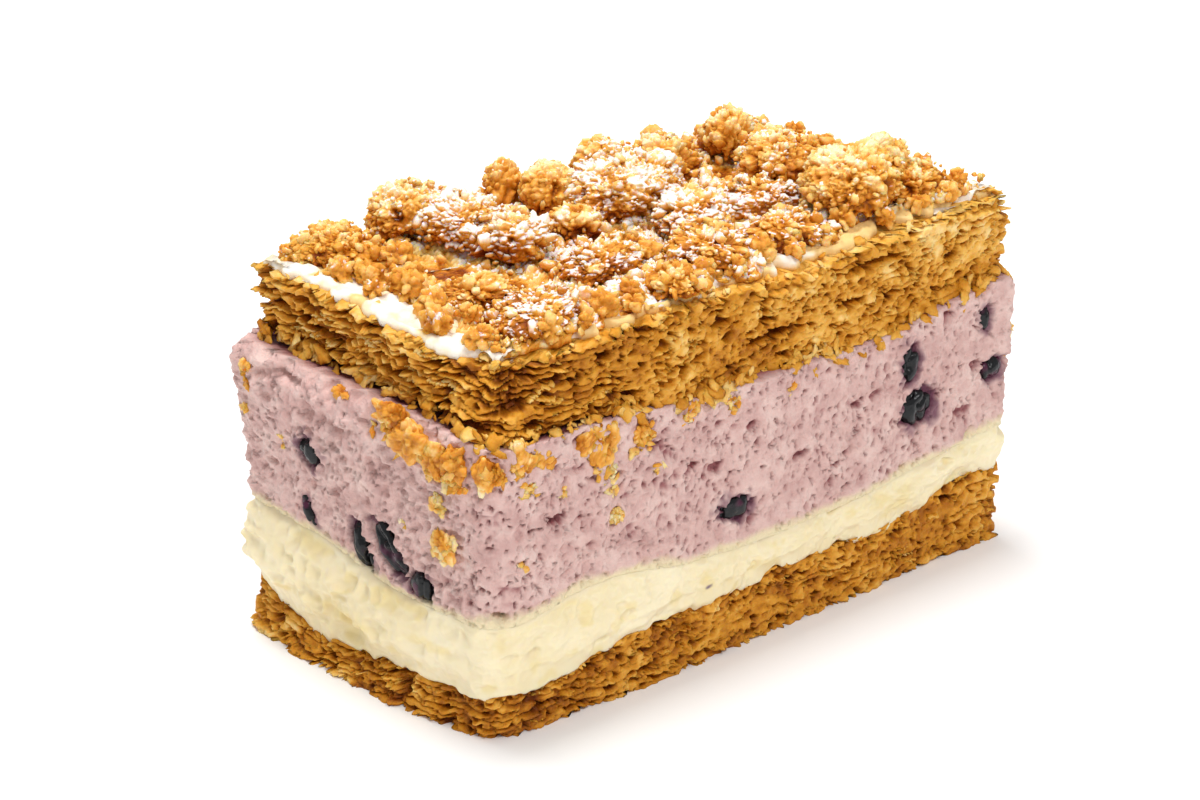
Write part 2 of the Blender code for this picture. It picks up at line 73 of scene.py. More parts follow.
# Heights of the joints between layers at equal steps round the slice
BASE_TOP = (7.0, 9.2, 10.2, 10.8, 10.4, 13.4, 11.0, 9.5, 10.0, 9.6, 8.8, 9.8, 10.2, 10.6, 4.6, 5.4)
CREAM_TOP = (18.8, 20.6, 17.5, 16.8, 17.5, 19.6, 19.0, 18.2, 19.0, 18.4, 17.6, 18.2, 19.6, 21.4, 21.0, 18.3)
MOUSSE_TOP = (46.6, 45.8, 43.3, 42.7, 42.0, 44.2, 45.0, 44.8, 43.8, 43.4, 44.0, 45.0, 46.2, 47.6, 47.8, 48.0)
LID_TOP = (56.2, 57.4, 57.8, 56.6, 57.0, 57.6, 56.6, 54.8, 52.8, 53.6, 54.4, 55.2, 56.8, 58.4, 59.0, 58.0)

# Wear at the corner between the cut faces, and how far the lower layers stand out past the lid
LID_CORNER_LOSS = 4.5
LID_CORNER_REACH = 11.0
BASE_CORNER_LOSS = 0.8
BASE_CORNER_REACH = 8.0
LID_UNDERCUT = 1.6
MOUSSE_SHELF = 3.0
MOUSSE_END = 2.4
BASE_SHELF = 3.0
CREAM_BULGE = 1.0
CREAM_SHELF = 1.7
CREAM_CORNER_LOSS = 0.8

# Where the shelf and the far end stand out, as shares of the way round
SHELF_MIDDLE = 0.885
SHELF_REACH = 0.085
END_MIDDLE = 0.35
END_REACH = 0.025

# How finely the layers are worked out: points round, points up their sides, and rings over their tops
SIDE_COLUMNS = 1000
LID_COLUMNS = 1100
LID_ROWS = 78
BASE_ROWS = 54
MOUSSE_ROWS = 90
CREAM_ROWS = 50
PASTRY_CAP_STEPS = 6
MOUSSE_CAP_STEPS = 4
CREAM_CAP_STEPS = 5
ICING_COLUMNS = 800
ICING_RINGS = 34
BED_COLUMNS = 860
BED_RINGS = 112

# Sheets of pastry in each layer, and the strips of torn sheet on its side, with their lengths
LID_SHEETS = 10
BASE_SHEETS = 6
LID_STRIPS = 330
BASE_STRIPS = 260
STRIP_LENGTHS = (1.6, 4.0)

# A strip's section, from inside along its top and back underneath: depth in, height in thicknesses, and tone,
# which is painted dark deep inside as shade between the sheets
STRIP_SECTION = ((2.6, 0.9, 0.1), (0.6, 1.1, 0.55), (0.0, 0.25, 0.85), (0.1, -0.6, 0.6), (2.6, -0.9, 0.1))

# How many flakes lie on the lid's rim and hang from its foot, how many crumbs and grains lie on the bed, and
# how many lie on each square millimetre of a clump
RIM_FLAKES = 420
HANGING_FLAKES = 420
BED_CRUMBS = 750
BED_GRAINS = 600
CLUMP_CRUMB_DENSITY = 0.1
CLUMP_GRAIN_DENSITY = 0.12

# The pieces that the clumps are made in: least and greatest half length, rings and points round
CLUMP_PIECES = {
    "large_clumps": (7.5, 99.0, 80, 160),
    "middle_clumps": (6.0, 7.5, 62, 124),
    "small_clumps": (0.0, 6.0, 52, 104),
}

# Clumps of crumbs: centre x, y, z, half length, half width, half height, turn in degrees, dusting of sugar
CLUMPS = {
    "back_left": (-42.5, 21.0, 60.4, 7.5, 4.4, 3.4, 0, 0.1),
    "long_left": (-27.8, 20.0, 62.4, 7.4, 5.6, 4.8, 20, 0.35),
    "long_middle": (-24.6, 12.0, 62.4, 7.6, 6.2, 4.5, -60, 0.85),
    "long_right": (-22.0, 3.4, 61.8, 6.6, 5.6, 4.2, -50, 0.8),
    "back_spike": (-8.2, 21.7, 60.2, 3.0, 2.8, 4.8, 0, 0.2),
    "back_small": (-4.6, 14.2, 61.0, 5.0, 4.4, 4.8, 30, 0.0),
    "heap": (3.0, 6.4, 61.8, 9.6, 8.6, 5.8, 20, 0.75),
    "heap_shoulder": (11.0, 18.5, 60.4, 5.2, 4.4, 3.8, 0, 0.4),
    "heap_back": (17.6, 13.6, 59.8, 6.8, 5.6, 4.8, 0, 0.25),
    "top_knob": (29.9, 11.6, 61.6, 3.9, 3.8, 4.8, 0, 0.1),
    "right_back": (31.0, 1.6, 60.6, 7.4, 6.2, 4.6, 10, 0.35),
    "right_big": (30.0, -15.8, 62.2, 10.4, 7.4, 5.4, 20, 0.15),
    "right_peak": (37.6, -14.6, 63.4, 3.8, 3.6, 4.2, 0, 0.05),
    "right_slope": (38.6, -19.0, 60.2, 7.0, 5.0, 3.8, -20, 0.0),
    "ridge": (4.6, -6.6, 60.8, 7.0, 6.2, 3.8, 60, 0.75),
    "ridge_front": (-1.0, -16.4, 60.0, 7.8, 6.0, 3.6, 40, 0.45),
    "tongue": (-13.0, -22.4, 59.4, 5.4, 4.4, 3.2, 70, 0.0),
    "front_left": (-35.0, -16.4, 59.6, 8.4, 6.4, 3.2, 10, 0.65),
    "middle": (-16.6, -9.6, 60.0, 7.2, 5.4, 3.6, 0, 0.6),
    "front_right": (12.4, -18.4, 59.8, 7.8, 5.2, 3.2, 0, 0.45),
    "centre_right": (18.6, -6.6, 59.8, 6.8, 5.6, 3.4, 0, 0.65),
    "left_low": (-41.0, 17.0, 60.2, 5.6, 4.6, 2.6, 0, 0.0),
    "left_middle": (-37.6, -6.4, 59.8, 6.2, 4.6, 3.0, -30, 0.2),
    "hollow_side": (-9.2, 3.2, 60.2, 4.8, 4.2, 3.4, 0, 0.3),
    "back_right": (42.0, 12.0, 56.6, 6.2, 5.2, 3.0, 0, 0.1),
}

# Hollows at the feet of the clumps, where the bed is lower and painted dark as shade: centre x, y, half
# length, half width, turn in degrees
HOLLOWS = (
    (-31.0, 1.6, 10.0, 2.9, -64),
    (-6.4, -3.6, 4.6, 2.8, -70),
    (13.4, 2.6, 2.4, 2.0, 0),
    (24.0, -22.8, 5.4, 1.7, 5),
    (20.4, -15.0, 3.4, 1.8, 60),
    (-9.0, 7.6, 3.2, 1.8, -40),
    (25.0, 7.4, 3.0, 1.8, 40),
    (-13.0, 12.0, 4.0, 1.8, -60),
)

# Berries: centre x, y, z, half sizes along x, y, z, lean in degrees
BERRIES = {
    "berry_left_upper": (-53.4, 10.9, 34.9, 2.3, 2.8, 2.8, 0),
    "berry_left_sliver": (-53.4, 12.8, 24.6, 1.2, 1.1, 2.6, 25),
    "berry_left_skin": (-52.0, 1.2, 22.9, 2.3, 2.1, 4.7, 18),
    "berry_left_fold": (-52.1, -5.0, 24.9, 2.3, 2.2, 5.2, 42),
    "berry_left_tip": (-51.9, -11.6, 20.6, 2.2, 2.6, 2.5, 0),
    "berry_front_low": (-5.6, -25.7, 23.4, 3.7, 2.3, 2.5, 0),
    "berry_front_upper": (31.0, -26.0, 35.4, 2.2, 2.2, 3.9, 0),
    "berry_front_lower": (33.0, -26.0, 28.0, 3.9, 2.3, 3.4, 0),
    "berry_corner": (49.6, -25.7, 29.6, 2.6, 2.3, 2.5, 0),
    "berry_edge": (47.6, -26.0, 38.6, 1.7, 1.9, 2.7, 0),
    "berry_end_low": (51.5, 7.0, 26.0, 2.4, 3.8, 3.2, 0),
    "berry_end_upper": (51.7, -11.0, 36.0, 2.3, 2.8, 3.0, 0),
    "berry_back_left": (-24.0, 26.0, 24.6, 4.2, 2.4, 3.2, 0),
    "berry_back_right": (13.0, 25.7, 34.6, 3.2, 2.3, 3.8, 0),
    "berry_back_small": (38.0, 26.0, 25.2, 2.6, 2.1, 2.4, 0),
}

# A dark speck of berry in the cream
CREAM_SPECK = (-11.6, -27.6, 12.8)

# Tears in the mousse: centre x, y, z and half sizes along the face and up, depth
TEARS = (
    (-41.0, -27.0, 33.2, 2.2, 0.9, 1.6),
    (-46.2, -27.0, 39.4, 1.1, 1.1, 1.0),
    (15.0, -27.0, 24.2, 1.6, 0.5, 0.8),
    (-30.0, -27.0, 30.0, 1.4, 1.6, 1.1),
    (-22.5, -27.0, 38.6, 1.3, 0.9, 0.9),
    (-9.0, -27.0, 38.0, 1.1, 0.6, 0.8),
    (43.0, -27.0, 24.6, 2.0, 0.7, 0.8),
    (-52.5, 15.0, 45.4, 3.6, 0.8, 1.6),
    (-52.5, 4.0, 41.6, 2.4, 0.7, 1.0),
    (-52.5, -3.6, 37.4, 0.9, 1.6, 0.9),
    (-52.5, 20.5, 30.0, 1.4, 0.5, 0.8),
    (52.5, 4.0, 38.0, 2.4, 0.8, 1.2),
    (52.5, -16.0, 26.0, 1.6, 0.6, 0.9),
    (-40.0, 27.0, 33.0, 2.2, 0.9, 1.3),
    (24.0, 27.0, 25.0, 1.9, 0.7, 1.1),
)

# Wide gaps between the lid's sheets: centre x, y, z and half sizes along the face and up, depth
GAPS = (
    (-31.4, -27.0, 55.0, 1.9, 0.8, 2.2),
    (-26.0, -27.0, 47.5, 1.8, 1.0, 2.4),
    (3.0, -27.0, 48.8, 6.0, 0.8, 2.4),
    (-8.3, -27.0, 53.7, 1.7, 0.8, 2.0),
    (-48.2, -27.0, 51.2, 3.6, 1.0, 2.8),
    (-44.0, -27.0, 48.2, 2.2, 0.7, 2.0),
    (-16.0, -27.0, 48.6, 1.5, 0.8, 2.0),
    (18.6, -27.0, 49.5, 1.6, 0.8, 2.0),
    (30.4, -27.0, 47.9, 1.2, 0.8, 2.0),
    (23.0, -27.0, 54.4, 6.5, 0.6, 2.2),
    (40.0, -27.0, 51.0, 1.5, 0.8, 2.0),
    (-52.5, -21.0, 48.6, 3.2, 1.1, 2.8),
    (-52.5, -13.6, 49.4, 2.8, 0.9, 2.4),
    (-52.5, 9.7, 51.2, 2.8, 0.6, 2.0),
    (-52.5, 16.5, 52.2, 2.8, 0.7, 2.2),
    (-52.5, -1.6, 54.0, 2.6, 0.6, 2.0),
    (-52.5, 5.0, 56.2, 2.6, 0.5, 1.6),
    (-52.5, 22.0, 54.3, 2.2, 0.7, 2.0),
    (52.5, 4.0, 50.0, 3.0, 0.8, 2.2),
    (52.5, -14.0, 52.6, 2.2, 0.6, 1.8),
    (10.0, 27.0, 50.0, 4.0, 0.8, 2.2),
    (-30.0, 27.0, 52.0, 3.2, 0.7, 2.0),
)

# Bits of pastry stuck to the mousse: centre x, y, z, half sizes across and up, count of flakes
STUCK_BITS = (
    (-54.7, -12.3, 44.2, 4.4, 3.2, 26),
    (-54.7, -7.2, 44.6, 3.2, 2.2, 14),
    (-54.3, -19.4, 42.6, 3.0, 3.6, 16),
    (-53.7, -9.3, 30.4, 0.9, 0.8, 3),
    (-54.2, -17.2, 36.2, 1.6, 1.3, 5),
    (-53.7, -18.0, 29.0, 2.2, 2.4, 13),
    (-55.1, 24.6, 43.6, 1.6, 2.0, 7),
    (-54.9, 25.4, 37.4, 0.8, 0.8, 3),
    (-54.4, 17.8, 34.8, 0.8, 1.0, 3),
    (-47.8, -27.4, 43.6, 1.4, 3.4, 9),
    (-51.5, -27.0, 42.8, 1.6, 2.0, 7),
    (-32.1, -27.6, 41.0, 2.4, 4.4, 24),
    (-30.4, -27.6, 35.6, 1.0, 2.4, 6),
    (-24.2, -27.6, 40.6, 2.4, 1.4, 8),
    (-46.2, -27.5, 39.6, 1.5, 1.3, 5),
    (-40.1, -27.6, 37.0, 1.7, 0.9, 5),
    (-29.6, -27.5, 30.2, 0.9, 1.4, 5),
    (-48.2, -27.2, 27.9, 0.7, 0.9, 3),
    (-15.2, -27.6, 41.6, 1.4, 1.2, 5),
    (-6.1, -27.6, 40.6, 1.3, 0.9, 3),
    (-21.6, -27.5, 35.4, 0.8, 1.0, 3),
    (5.0, -27.5, 39.8, 1.0, 0.6, 2),
    (53.6, -26.2, 35.0, 1.4, 2.2, 7),
    (52.6, -26.8, 31.6, 0.9, 0.8, 3),
    (-8.0, 27.5, 39.6, 2.8, 2.2, 12),
    (-46.0, 27.6, 40.6, 2.0, 2.2, 9),
    (30.0, 27.4, 38.0, 1.2, 1.2, 4),
    (53.2, 6.0, 39.4, 1.6, 1.6, 6),
)

# Lumps of pastry that hang from the lid's foot or are stuck to the mousse: centre x, y, z, half sizes x, y, z
LUMPS = (
    (-55.2, -12.2, 44.8, 1.7, 4.4, 3.0), (-54.9, -7.2, 46.8, 1.5, 3.4, 2.2),
    (-54.9, -16.8, 43.0, 1.2, 2.7, 2.7), (-54.3, -20.8, 43.0, 1.3, 2.6, 2.6),
    (-52.5, -25.2, 43.0, 1.5, 2.0, 2.8), (-47.6, -27.5, 43.6, 2.0, 1.1, 2.8),
    (-43.2, -27.6, 43.8, 2.5, 0.9, 1.7), (-35.4, -27.6, 43.4, 1.9, 0.8, 1.5),
    (-32.1, -27.6, 41.4, 2.6, 1.0, 3.5), (-31.0, -27.3, 37.0, 1.0, 0.7, 2.2),
    (-24.4, -27.4, 41.6, 2.3, 0.9, 1.5), (-15.0, -27.3, 41.8, 1.4, 0.8, 1.3),
    (-54.0, -18.0, 29.0, 0.8, 2.1, 2.3), (-54.6, -17.0, 36.0, 0.6, 1.4, 1.3),
    (-54.7, 25.0, 43.6, 0.9, 1.5, 1.9), (53.4, -26.4, 34.6, 1.2, 0.9, 1.8),
    (-40.1, -27.2, 37.0, 1.5, 0.6, 0.9), (-46.2, -27.2, 39.6, 1.3, 0.6, 1.1),
    (-29.6, -27.2, 30.2, 0.8, 0.6, 1.1), (-6.2, -27.2, 40.8, 1.2, 0.6, 0.8),
    (-54.6, 3.0, 46.6, 1.0, 1.6, 1.0), (-10.0, 27.4, 41.0, 2.6, 0.9, 1.8),
    (-45.0, 27.4, 41.6, 2.0, 0.9, 2.0), (53.0, 6.0, 39.8, 0.9, 1.8, 1.6),
)

# Large crumbs that lie on the icing and on the bed: x, y, half size
SINGLE_CRUMBS = (
    (-46.5, 21.0, 2.2), (-47.0, 12.6, 1.9), (-48.6, 22.8, 1.6), (-44.6, 8.6, 2.4), (-43.0, 2.4, 2.8),
    (-47.4, 4.4, 1.5), (-45.2, -5.6, 2.6), (-48.4, -10.4, 2.3), (-42.0, -10.6, 1.7), (-46.6, -17.6, 2.0),
    (-39.6, 5.2, 2.2), (-37.4, -21.8, 1.9), (-26.4, -21.6, 2.3), (-20.2, -20.4, 1.8), (-6.8, -21.4, 1.9),
    (4.6, -21.6, 2.2), (22.4, -20.6, 1.7), (46.6, -21.4, 1.6), (47.8, -13.0, 1.9), (46.4, -4.0, 2.2),
    (44.6, 5.0, 1.8), (47.2, 14.6, 1.6), (38.0, 21.4, 2.0), (24.6, 22.0, 2.2), (3.0, 22.6, 2.0),
    (-14.8, 21.8, 1.9), (-36.6, 12.0, 2.4), (-8.0, -10.4, 2.0), (-31.6, -23.2, 1.6), (-22.6, -23.6, 1.5),
    (-2.0, -23.4, 1.5), (9.4, -23.6, 1.6), (16.8, -23.0, 1.4), (28.4, -23.8, 1.5), (36.0, -23.4, 1.4),
    (41.6, -23.8, 1.6),
)

# The rings of icing at its edge: how far in from the edge, and how high over the lid
ICING_EDGE = ((9.0, -0.2), (1.0, -0.5), (0.2, -0.4), (0.0, 0.3), (0.15, 0.9), (0.6, 1.25))

# Colours through each finish's tones or mottling, and of the sugar. The tones of pastry and crumbs also hold
# painted shade and painted light
PASTRY_BROWNS = (
    (0.0, (0.17, 0.035, 0.001)), (0.3, (0.40, 0.13, 0.003)), (0.55, (0.64, 0.27, 0.018)),
    (0.78, (0.80, 0.43, 0.075)), (1.0, (0.90, 0.64, 0.26)),
)
CRUMB_GOLDS = (
    (0.0, (0.20, 0.035, 0.001)), (0.3, (0.50, 0.155, 0.004)), (0.55, (0.78, 0.35, 0.045)),
    (0.78, (0.92, 0.58, 0.20)), (1.0, (0.96, 0.78, 0.48)),
)
MOUSSE_PINKS = ((0.3, (0.58, 0.355, 0.325)), (0.5, (0.68, 0.45, 0.41)), (0.7, (0.75, 0.54, 0.49)))
CREAM_YELLOWS = ((0.3, (0.82, 0.70, 0.43)), (0.7, (0.89, 0.79, 0.55)))
ICING_WHITES = ((0.35, (0.88, 0.74, 0.48)), (0.55, (0.95, 0.90, 0.80)))
SUGAR_WHITE = (0.93, 0.86, 0.85, 1)

# How far the light of each colour spreads under a baked crust: red furthest
CRUST_GLOW = (1.0, 0.42, 0.1)

# The room's light, and the two lamps: place in metres, size and power
ROOM_LIGHT = 0.55
LAMPS = {"key": ((0.0, 0.22, 1.1), 0.42, 9.0), "front": ((-0.30, -0.80, 1.0), 0.25, 6.0)}

# The photo's camera: a lens of 135 mm on a 36 mm sensor
CAMERA_LENS = 135.0
CAMERA_SENSOR = 36.0
CAMERA_TURN = math.radians(-42.5)
CAMERA_HEIGHT = math.radians(24.0)
CAMERA_DISTANCE = 695.5
CAMERA_RIGHT = -5.55
CAMERA_UP = 27.56


# Noise

def hashed(cells, seed):
    """A fixed random value from 0 to 1 for each whole-number cell: its numbers multiplied, mixed and cut."""
    mixed = cells[..., 0] * 374761393 + cells[..., 1] * 668265263 + cells[..., 2] * 1103515245
    mixed = (mixed + seed * 1274126177) & 0xFFFFFFFF
    mixed = ((mixed ^ (mixed >> 13)) * 1274126177) & 0xFFFFFFFF
    return ((mixed ^ (mixed >> 16)) & 0xFFFFFF) / 0xFFFFFF


def soft_noise(points, size, seed):
    """Smooth noise from -1 to 1: random values at the corners of cubes of that size, eased in between."""
    scaled = np.asarray(points) / size
    cells = np.floor(scaled).astype(np.int64)
    t = scaled - cells
    t = t * t * (3 - 2 * t)
    total = np.zeros(scaled.shape[:-1])
    for corner in itertools.product((0, 1), repeat=3):
        weight = np.prod(np.where(np.array(corner) == 1, t, 1 - t), axis=-1)
        total += weight * hashed(cells + np.array(corner), seed)
    return 2 * total - 1


def noises(points, *terms):
    """A sum of smooth noises, each term a height, a size and a seed."""
    return sum(height * soft_noise(points, size, seed) for height, size, seed in terms)


def rough_noise(points, size, seed, octaves=3):
    """Smooth noise of a size, plus half as much of half the size, and so on."""
    return sum(soft_noise(points, size / 2**k, seed + 17 * k) / 2**k for k in range(octaves))


def scattered_cells(points, size, seed):
    """Distances to the two nearest of random points, one in each cube of a size, and the nearest's value."""
    scaled = np.asarray(points) / size
    cells = np.floor(scaled).astype(np.int64)
    nearest = np.full(scaled.shape[:-1], 9.0)
    second = np.full(scaled.shape[:-1], 9.0)
    value = np.zeros(scaled.shape[:-1])
    for step in itertools.product((-1, 0, 1), repeat=3):
        other = cells + np.array(step)
        jitter = np.stack([hashed(other, seed + k) for k in range(3)], axis=-1)
        distance = np.linalg.norm(scaled - other - jitter, axis=-1)
        closer = distance < nearest
        second = np.where(closer, nearest, np.minimum(second, distance))
        nearest = np.where(closer, distance, nearest)
        value = np.where(closer, hashed(other, seed + 3), value)
    return nearest * size, second * size, value


def eased(low, high, values):
    """0 below low, 1 above high, and a smooth step between."""
    t = np.clip((values - low) / (high - low), 0, 1)
    return t * t * (3 - 2 * t)


def warped(points, size, amount, seed):
    """Points moved up to an amount along each axis by smooth noise of a size."""
    moves = [soft_noise(points, size, seed + k) for k in range(3)]
    return points + amount * np.stack(moves, axis=-1)


def pits(points, size, radius, depth, share, seed):
    """Small round pits: about random points, in that share of them, as deep as given in their middles."""
    near, _, value = scattered_cells(points, size, seed)
    return depth * (1 - eased(0.5 * radius, radius, near)) * (value < share)


def unit(vectors):
    """Vectors divided by their own lengths."""
    return vectors / np.linalg.norm(vectors, axis=-1)[..., None]


# The slice's outline

def outline_table(steps=16):
    """How far round, points and outward directions: four quarter circles joined by straight runs."""
    near, right, back, left = CORNER_RADII
    arcs = (
        (-1, -1, near, -135, -90),
        (1, -1, right, -90, 0),
        (1, 1, back, 0, 90),
        (-1, 1, left, 90, 180),
        (-1, -1, near, 180, 225),
    )
    angles = np.radians(np.concatenate([np.linspace(arc[3], arc[4], steps) for arc in arcs]))
    sides = np.repeat([arc[:2] for arc in arcs], steps, axis=0)
    radii = np.repeat([arc[2] for arc in arcs], steps)[:, None]
    outward = np.column_stack([np.cos(angles), np.sin(angles)])
    points = sides * (np.array((LENGTH / 2, WIDTH / 2)) - radii) + radii * outward
    travelled = np.concatenate([[0], np.cumsum(np.hypot(*np.diff(points, axis=0).T))])
    return travelled, points, outward


TRAVELLED, OUTLINE_POINTS, OUTLINE_OUTWARD = outline_table()
PERIMETER = TRAVELLED[-1]


def outline(share):
    """Points and outward directions at shares of the way round the slice."""
    place = (np.asarray(share) % 1) * PERIMETER
    points = np.stack([np.interp(place, TRAVELLED, OUTLINE_POINTS[:, k]) for k in (0, 1)], axis=-1)
    outward = np.stack([np.interp(place, TRAVELLED, OUTLINE_OUTWARD[:, k]) for k in (0, 1)], axis=-1)
    return points, unit(outward)


def spread_outward(share):
    """Outward directions that turn gradually round a corner: the mean of those up to 7 mm to either side."""
    return unit(np.mean([outline(share + step / PERIMETER)[1] for step in np.linspace(-7, 7, 9)], axis=0))


def side_shares(count):
    """Shares of the way round, nearly twice as close together on the two cut faces as on the other sides."""
    even = np.linspace(0, 1, 2001)
    cut = (even < 0.345) | (even > 0.815)
    travelled = np.concatenate([[0], np.cumsum(np.where(cut[1:], 1.0, 0.55))])
    return np.interp(np.arange(count) / count * travelled[-1], travelled, even)


def smooth_round(values, share):
    """A smooth closed curve through values at equal steps, read at a share of the way round."""
    values = np.asarray(values, float)
    place = (np.asarray(share) % 1) * len(values)
    first = np.floor(place).astype(int)
    t = place - first
    before, here, after, beyond = (values[(first + k) % len(values)] for k in (-1, 0, 1, 2))
    return 0.5 * (
        2 * here
        + (after - before) * t
        + (2 * before - 5 * here + 4 * after - beyond) * t**2
        + (3 * here - before - 3 * after + beyond) * t**3
    )


def near_corner(share, reach):
    """1 at the corner between the two cut faces, falling to 0 along each over a reach."""
    travelled = np.minimum(share % 1, 1 - share % 1) * PERIMETER
    return np.exp(-((travelled / reach) ** 2))


def near_shelf(share):
    """1 along the short cut face and its far corner, where the mousse stands out, and 0 elsewhere."""
    return np.exp(-(((share % 1 - SHELF_MIDDLE) / SHELF_REACH) ** 4))


def near_end(share):
    """1 where the mousse stands out a little at the far end of the long cut face, and 0 elsewhere."""
    return np.exp(-(((share % 1 - END_MIDDLE) / END_REACH) ** 2))


def on_front(share):
    """1 on the long cut face and 0 on the others, eased over their corners."""
    return eased(0.01, 0.04, share % 1) * (1 - eased(0.32, 0.34, share % 1))


def on_side(share, height, offset):
    """Points on the slice's side: the outline pushed outward by an offset, at a height."""
    points, outward = outline(share)
    flat = points + outward * np.asarray(offset)[..., None]
    return np.concatenate([flat, np.broadcast_to(height, flat.shape[:-1])[..., None]], axis=-1)


ANGLE_SHARES = np.linspace(0, 1, 721)
ANGLE_POINTS = outline(np.minimum(ANGLE_SHARES, 0.999999))[0]
ANGLES = np.unwrap(np.arctan2(ANGLE_POINTS[:, 1], ANGLE_POINTS[:, 0]))
REACHES = np.hypot(*ANGLE_POINTS.T)


def lid_height(x, y):
    """The height of the lid's top: level in the middle, and running out to the edge's own height."""
    angle = ANGLES[0] + (np.arctan2(y, x) - ANGLES[0]) % (2 * math.pi)
    share = np.interp(angle, ANGLES, ANGLE_SHARES)
    out = np.hypot(x, y) / np.interp(angle, ANGLES, REACHES)
    edge = smooth_round(LID_TOP, share)
    return LEVEL_LID_TOP + (edge - LEVEL_LID_TOP) * np.clip((out - LEVEL_SHARE) / (1 - LEVEL_SHARE), 0, 1)


def lid_edge(share, inward):
    """Points on the lid, some millimetres in from its worn top edge."""
    flat = on_side(share, 0.0, -0.6 - LID_CORNER_LOSS * near_corner(share, LID_CORNER_REACH) - inward)
    flat[..., 2] = lid_height(flat[..., 0], flat[..., 1])
    return flat


# Materials

def put(tree, kind, inputs=None, **settings):
    """A node with its settings, its inputs given as values or as the sockets that feed them."""
    made = tree.nodes.new(kind)
    for label, value in settings.items():
        setattr(made, label, value)
    for label, value in (inputs or {}).items():
        if isinstance(value, bpy.types.NodeSocket):
            tree.links.new(value, made.inputs[label])
        else:
            made.inputs[label].default_value = value
    return made


def noise_of(tree, place, scale, detail=3.0):
    """Blender's noise texture with that many waves to the metre, as a value from 0 to 1."""
    return put(tree, "ShaderNodeTexNoise", {"Vector": place, "Scale": scale, "Detail": detail}).outputs["Fac"]


def attribute(tree, label):
    """The value that a mesh keeps at its points under a label."""
    return put(tree, "ShaderNodeAttribute", attribute_name=label).outputs["Fac"]


def ramp(tree, factor, stops):
    """A colour ramp through stops of a place and a colour."""
    made = put(tree, "ShaderNodeValToRGB", {"Fac": factor})
    points = made.color_ramp.elements
    while len(points) < len(stops):
        points.new(0.5)
    for point, (place, colour) in zip(points, stops):
        point.position = place
        point.color = (*colour, 1)
    return made.outputs["Color"]


def mixed(tree, factor, first, second):
    """A first colour with a second mixed over it by a factor."""
    made = put(tree, "ShaderNodeMix", data_type="RGBA")
    for socket, value in ((made.inputs[0], factor), (made.inputs[6], first), (made.inputs[7], second)):
        if isinstance(value, bpy.types.NodeSocket):
            tree.links.new(value, socket)
        else:
            socket.default_value = value
    return made.outputs[2]


def surfaced(tree, shader, colour, height, strength, distance):
    """Gives a shader its colour, and a relief from a height by a Bump node of a strength and a depth."""
    bump = put(tree, "ShaderNodeBump", {"Height": height, "Strength": strength, "Distance": distance})
    tree.links.new(colour, shader["Base Color"])
    tree.links.new(bump.outputs["Normal"], shader["Normal"])


def group_of(name, inputs, outputs):
    """An empty node group with its sockets, and its input and output nodes."""
    tree = bpy.data.node_groups.new(name, "ShaderNodeTree")
    for label, kind, value in inputs:
        socket = tree.interface.new_socket(label, in_out="INPUT", socket_type=kind)
        socket.default_value = value
    for label, kind in outputs:
        tree.interface.new_socket(label, in_out="OUTPUT", socket_type=kind)
    return tree, tree.nodes.new("NodeGroupInput").outputs, tree.nodes.new("NodeGroupOutput").inputs


def sugar_dust_group():
    """Icing sugar as a colour and a mask, lying on what faces up.

    Two noises, one fine and one broad, are added to half the amount, and sugar lies where the sum is high.
    """
    tree, given, out = group_of(
        "sugar_dust",
        [("Vector", "NodeSocketVector", (0, 0, 0)), ("Colour", "NodeSocketColor", (1, 1, 1, 1)),
         ("Amount", "NodeSocketFloat", 0.5)],
        [("Colour", "NodeSocketColor"), ("Mask", "NodeSocketFloat")],
    )
    normal = put(tree, "ShaderNodeNewGeometry").outputs["Normal"]
    up = put(tree, "ShaderNodeSeparateXYZ", {"Vector": normal}).outputs["Z"]
    facing = put(tree, "ShaderNodeMapRange", {"Value": up, "From Min": 0.15, "From Max": 0.7, "To Max": 0.9})
    broad = noise_of(tree, given["Vector"], 300.0)
    fine = noise_of(tree, given["Vector"], 1000.0)
    speckle = put(tree, "ShaderNodeMath", {0: fine, 1: broad}, operation="ADD").outputs[0]
    spread = put(tree, "ShaderNodeMath", {0: given["Amount"], 1: 0.5, 2: speckle}, operation="MULTIPLY_ADD")
    patch = put(tree, "ShaderNodeMapRange", {"Value": spread.outputs[0], "From Min": 1.24, "From Max": 1.33})
    both = {0: patch.outputs["Result"], 1: facing.outputs["Result"]}
    mask = put(tree, "ShaderNodeMath", both, operation="MULTIPLY").outputs[0]
    tree.links.new(mixed(tree, mask, given["Colour"], SUGAR_WHITE), out["Colour"])
    tree.links.new(mask, out["Mask"])
    return tree


def baked_group():
    """Baked pastry: its tone with a mottling noise of up to a fifth added, and a fine noise as its grain."""
    tree, given, out = group_of(
        "baked",
        [("Vector", "NodeSocketVector", (0, 0, 0)), ("Tone", "NodeSocketFloat", 0.5)],
        [("Tone", "NodeSocketFloat"), ("Grain", "NodeSocketFloat")],
    )
    mottle = noise_of(tree, given["Vector"], 420.0, 4.0)
    shifted = put(tree, "ShaderNodeMapRange",
                  {"Value": mottle, "From Min": 0.25, "From Max": 0.75, "To Min": -0.2, "To Max": 0.2})
    toned = put(tree, "ShaderNodeMath", {0: given["Tone"], 1: shifted.outputs["Result"]}, operation="ADD")
    tree.links.new(toned.outputs[0], out["Tone"])
    tree.links.new(noise_of(tree, given["Vector"], 1900.0), out["Grain"])
    return tree


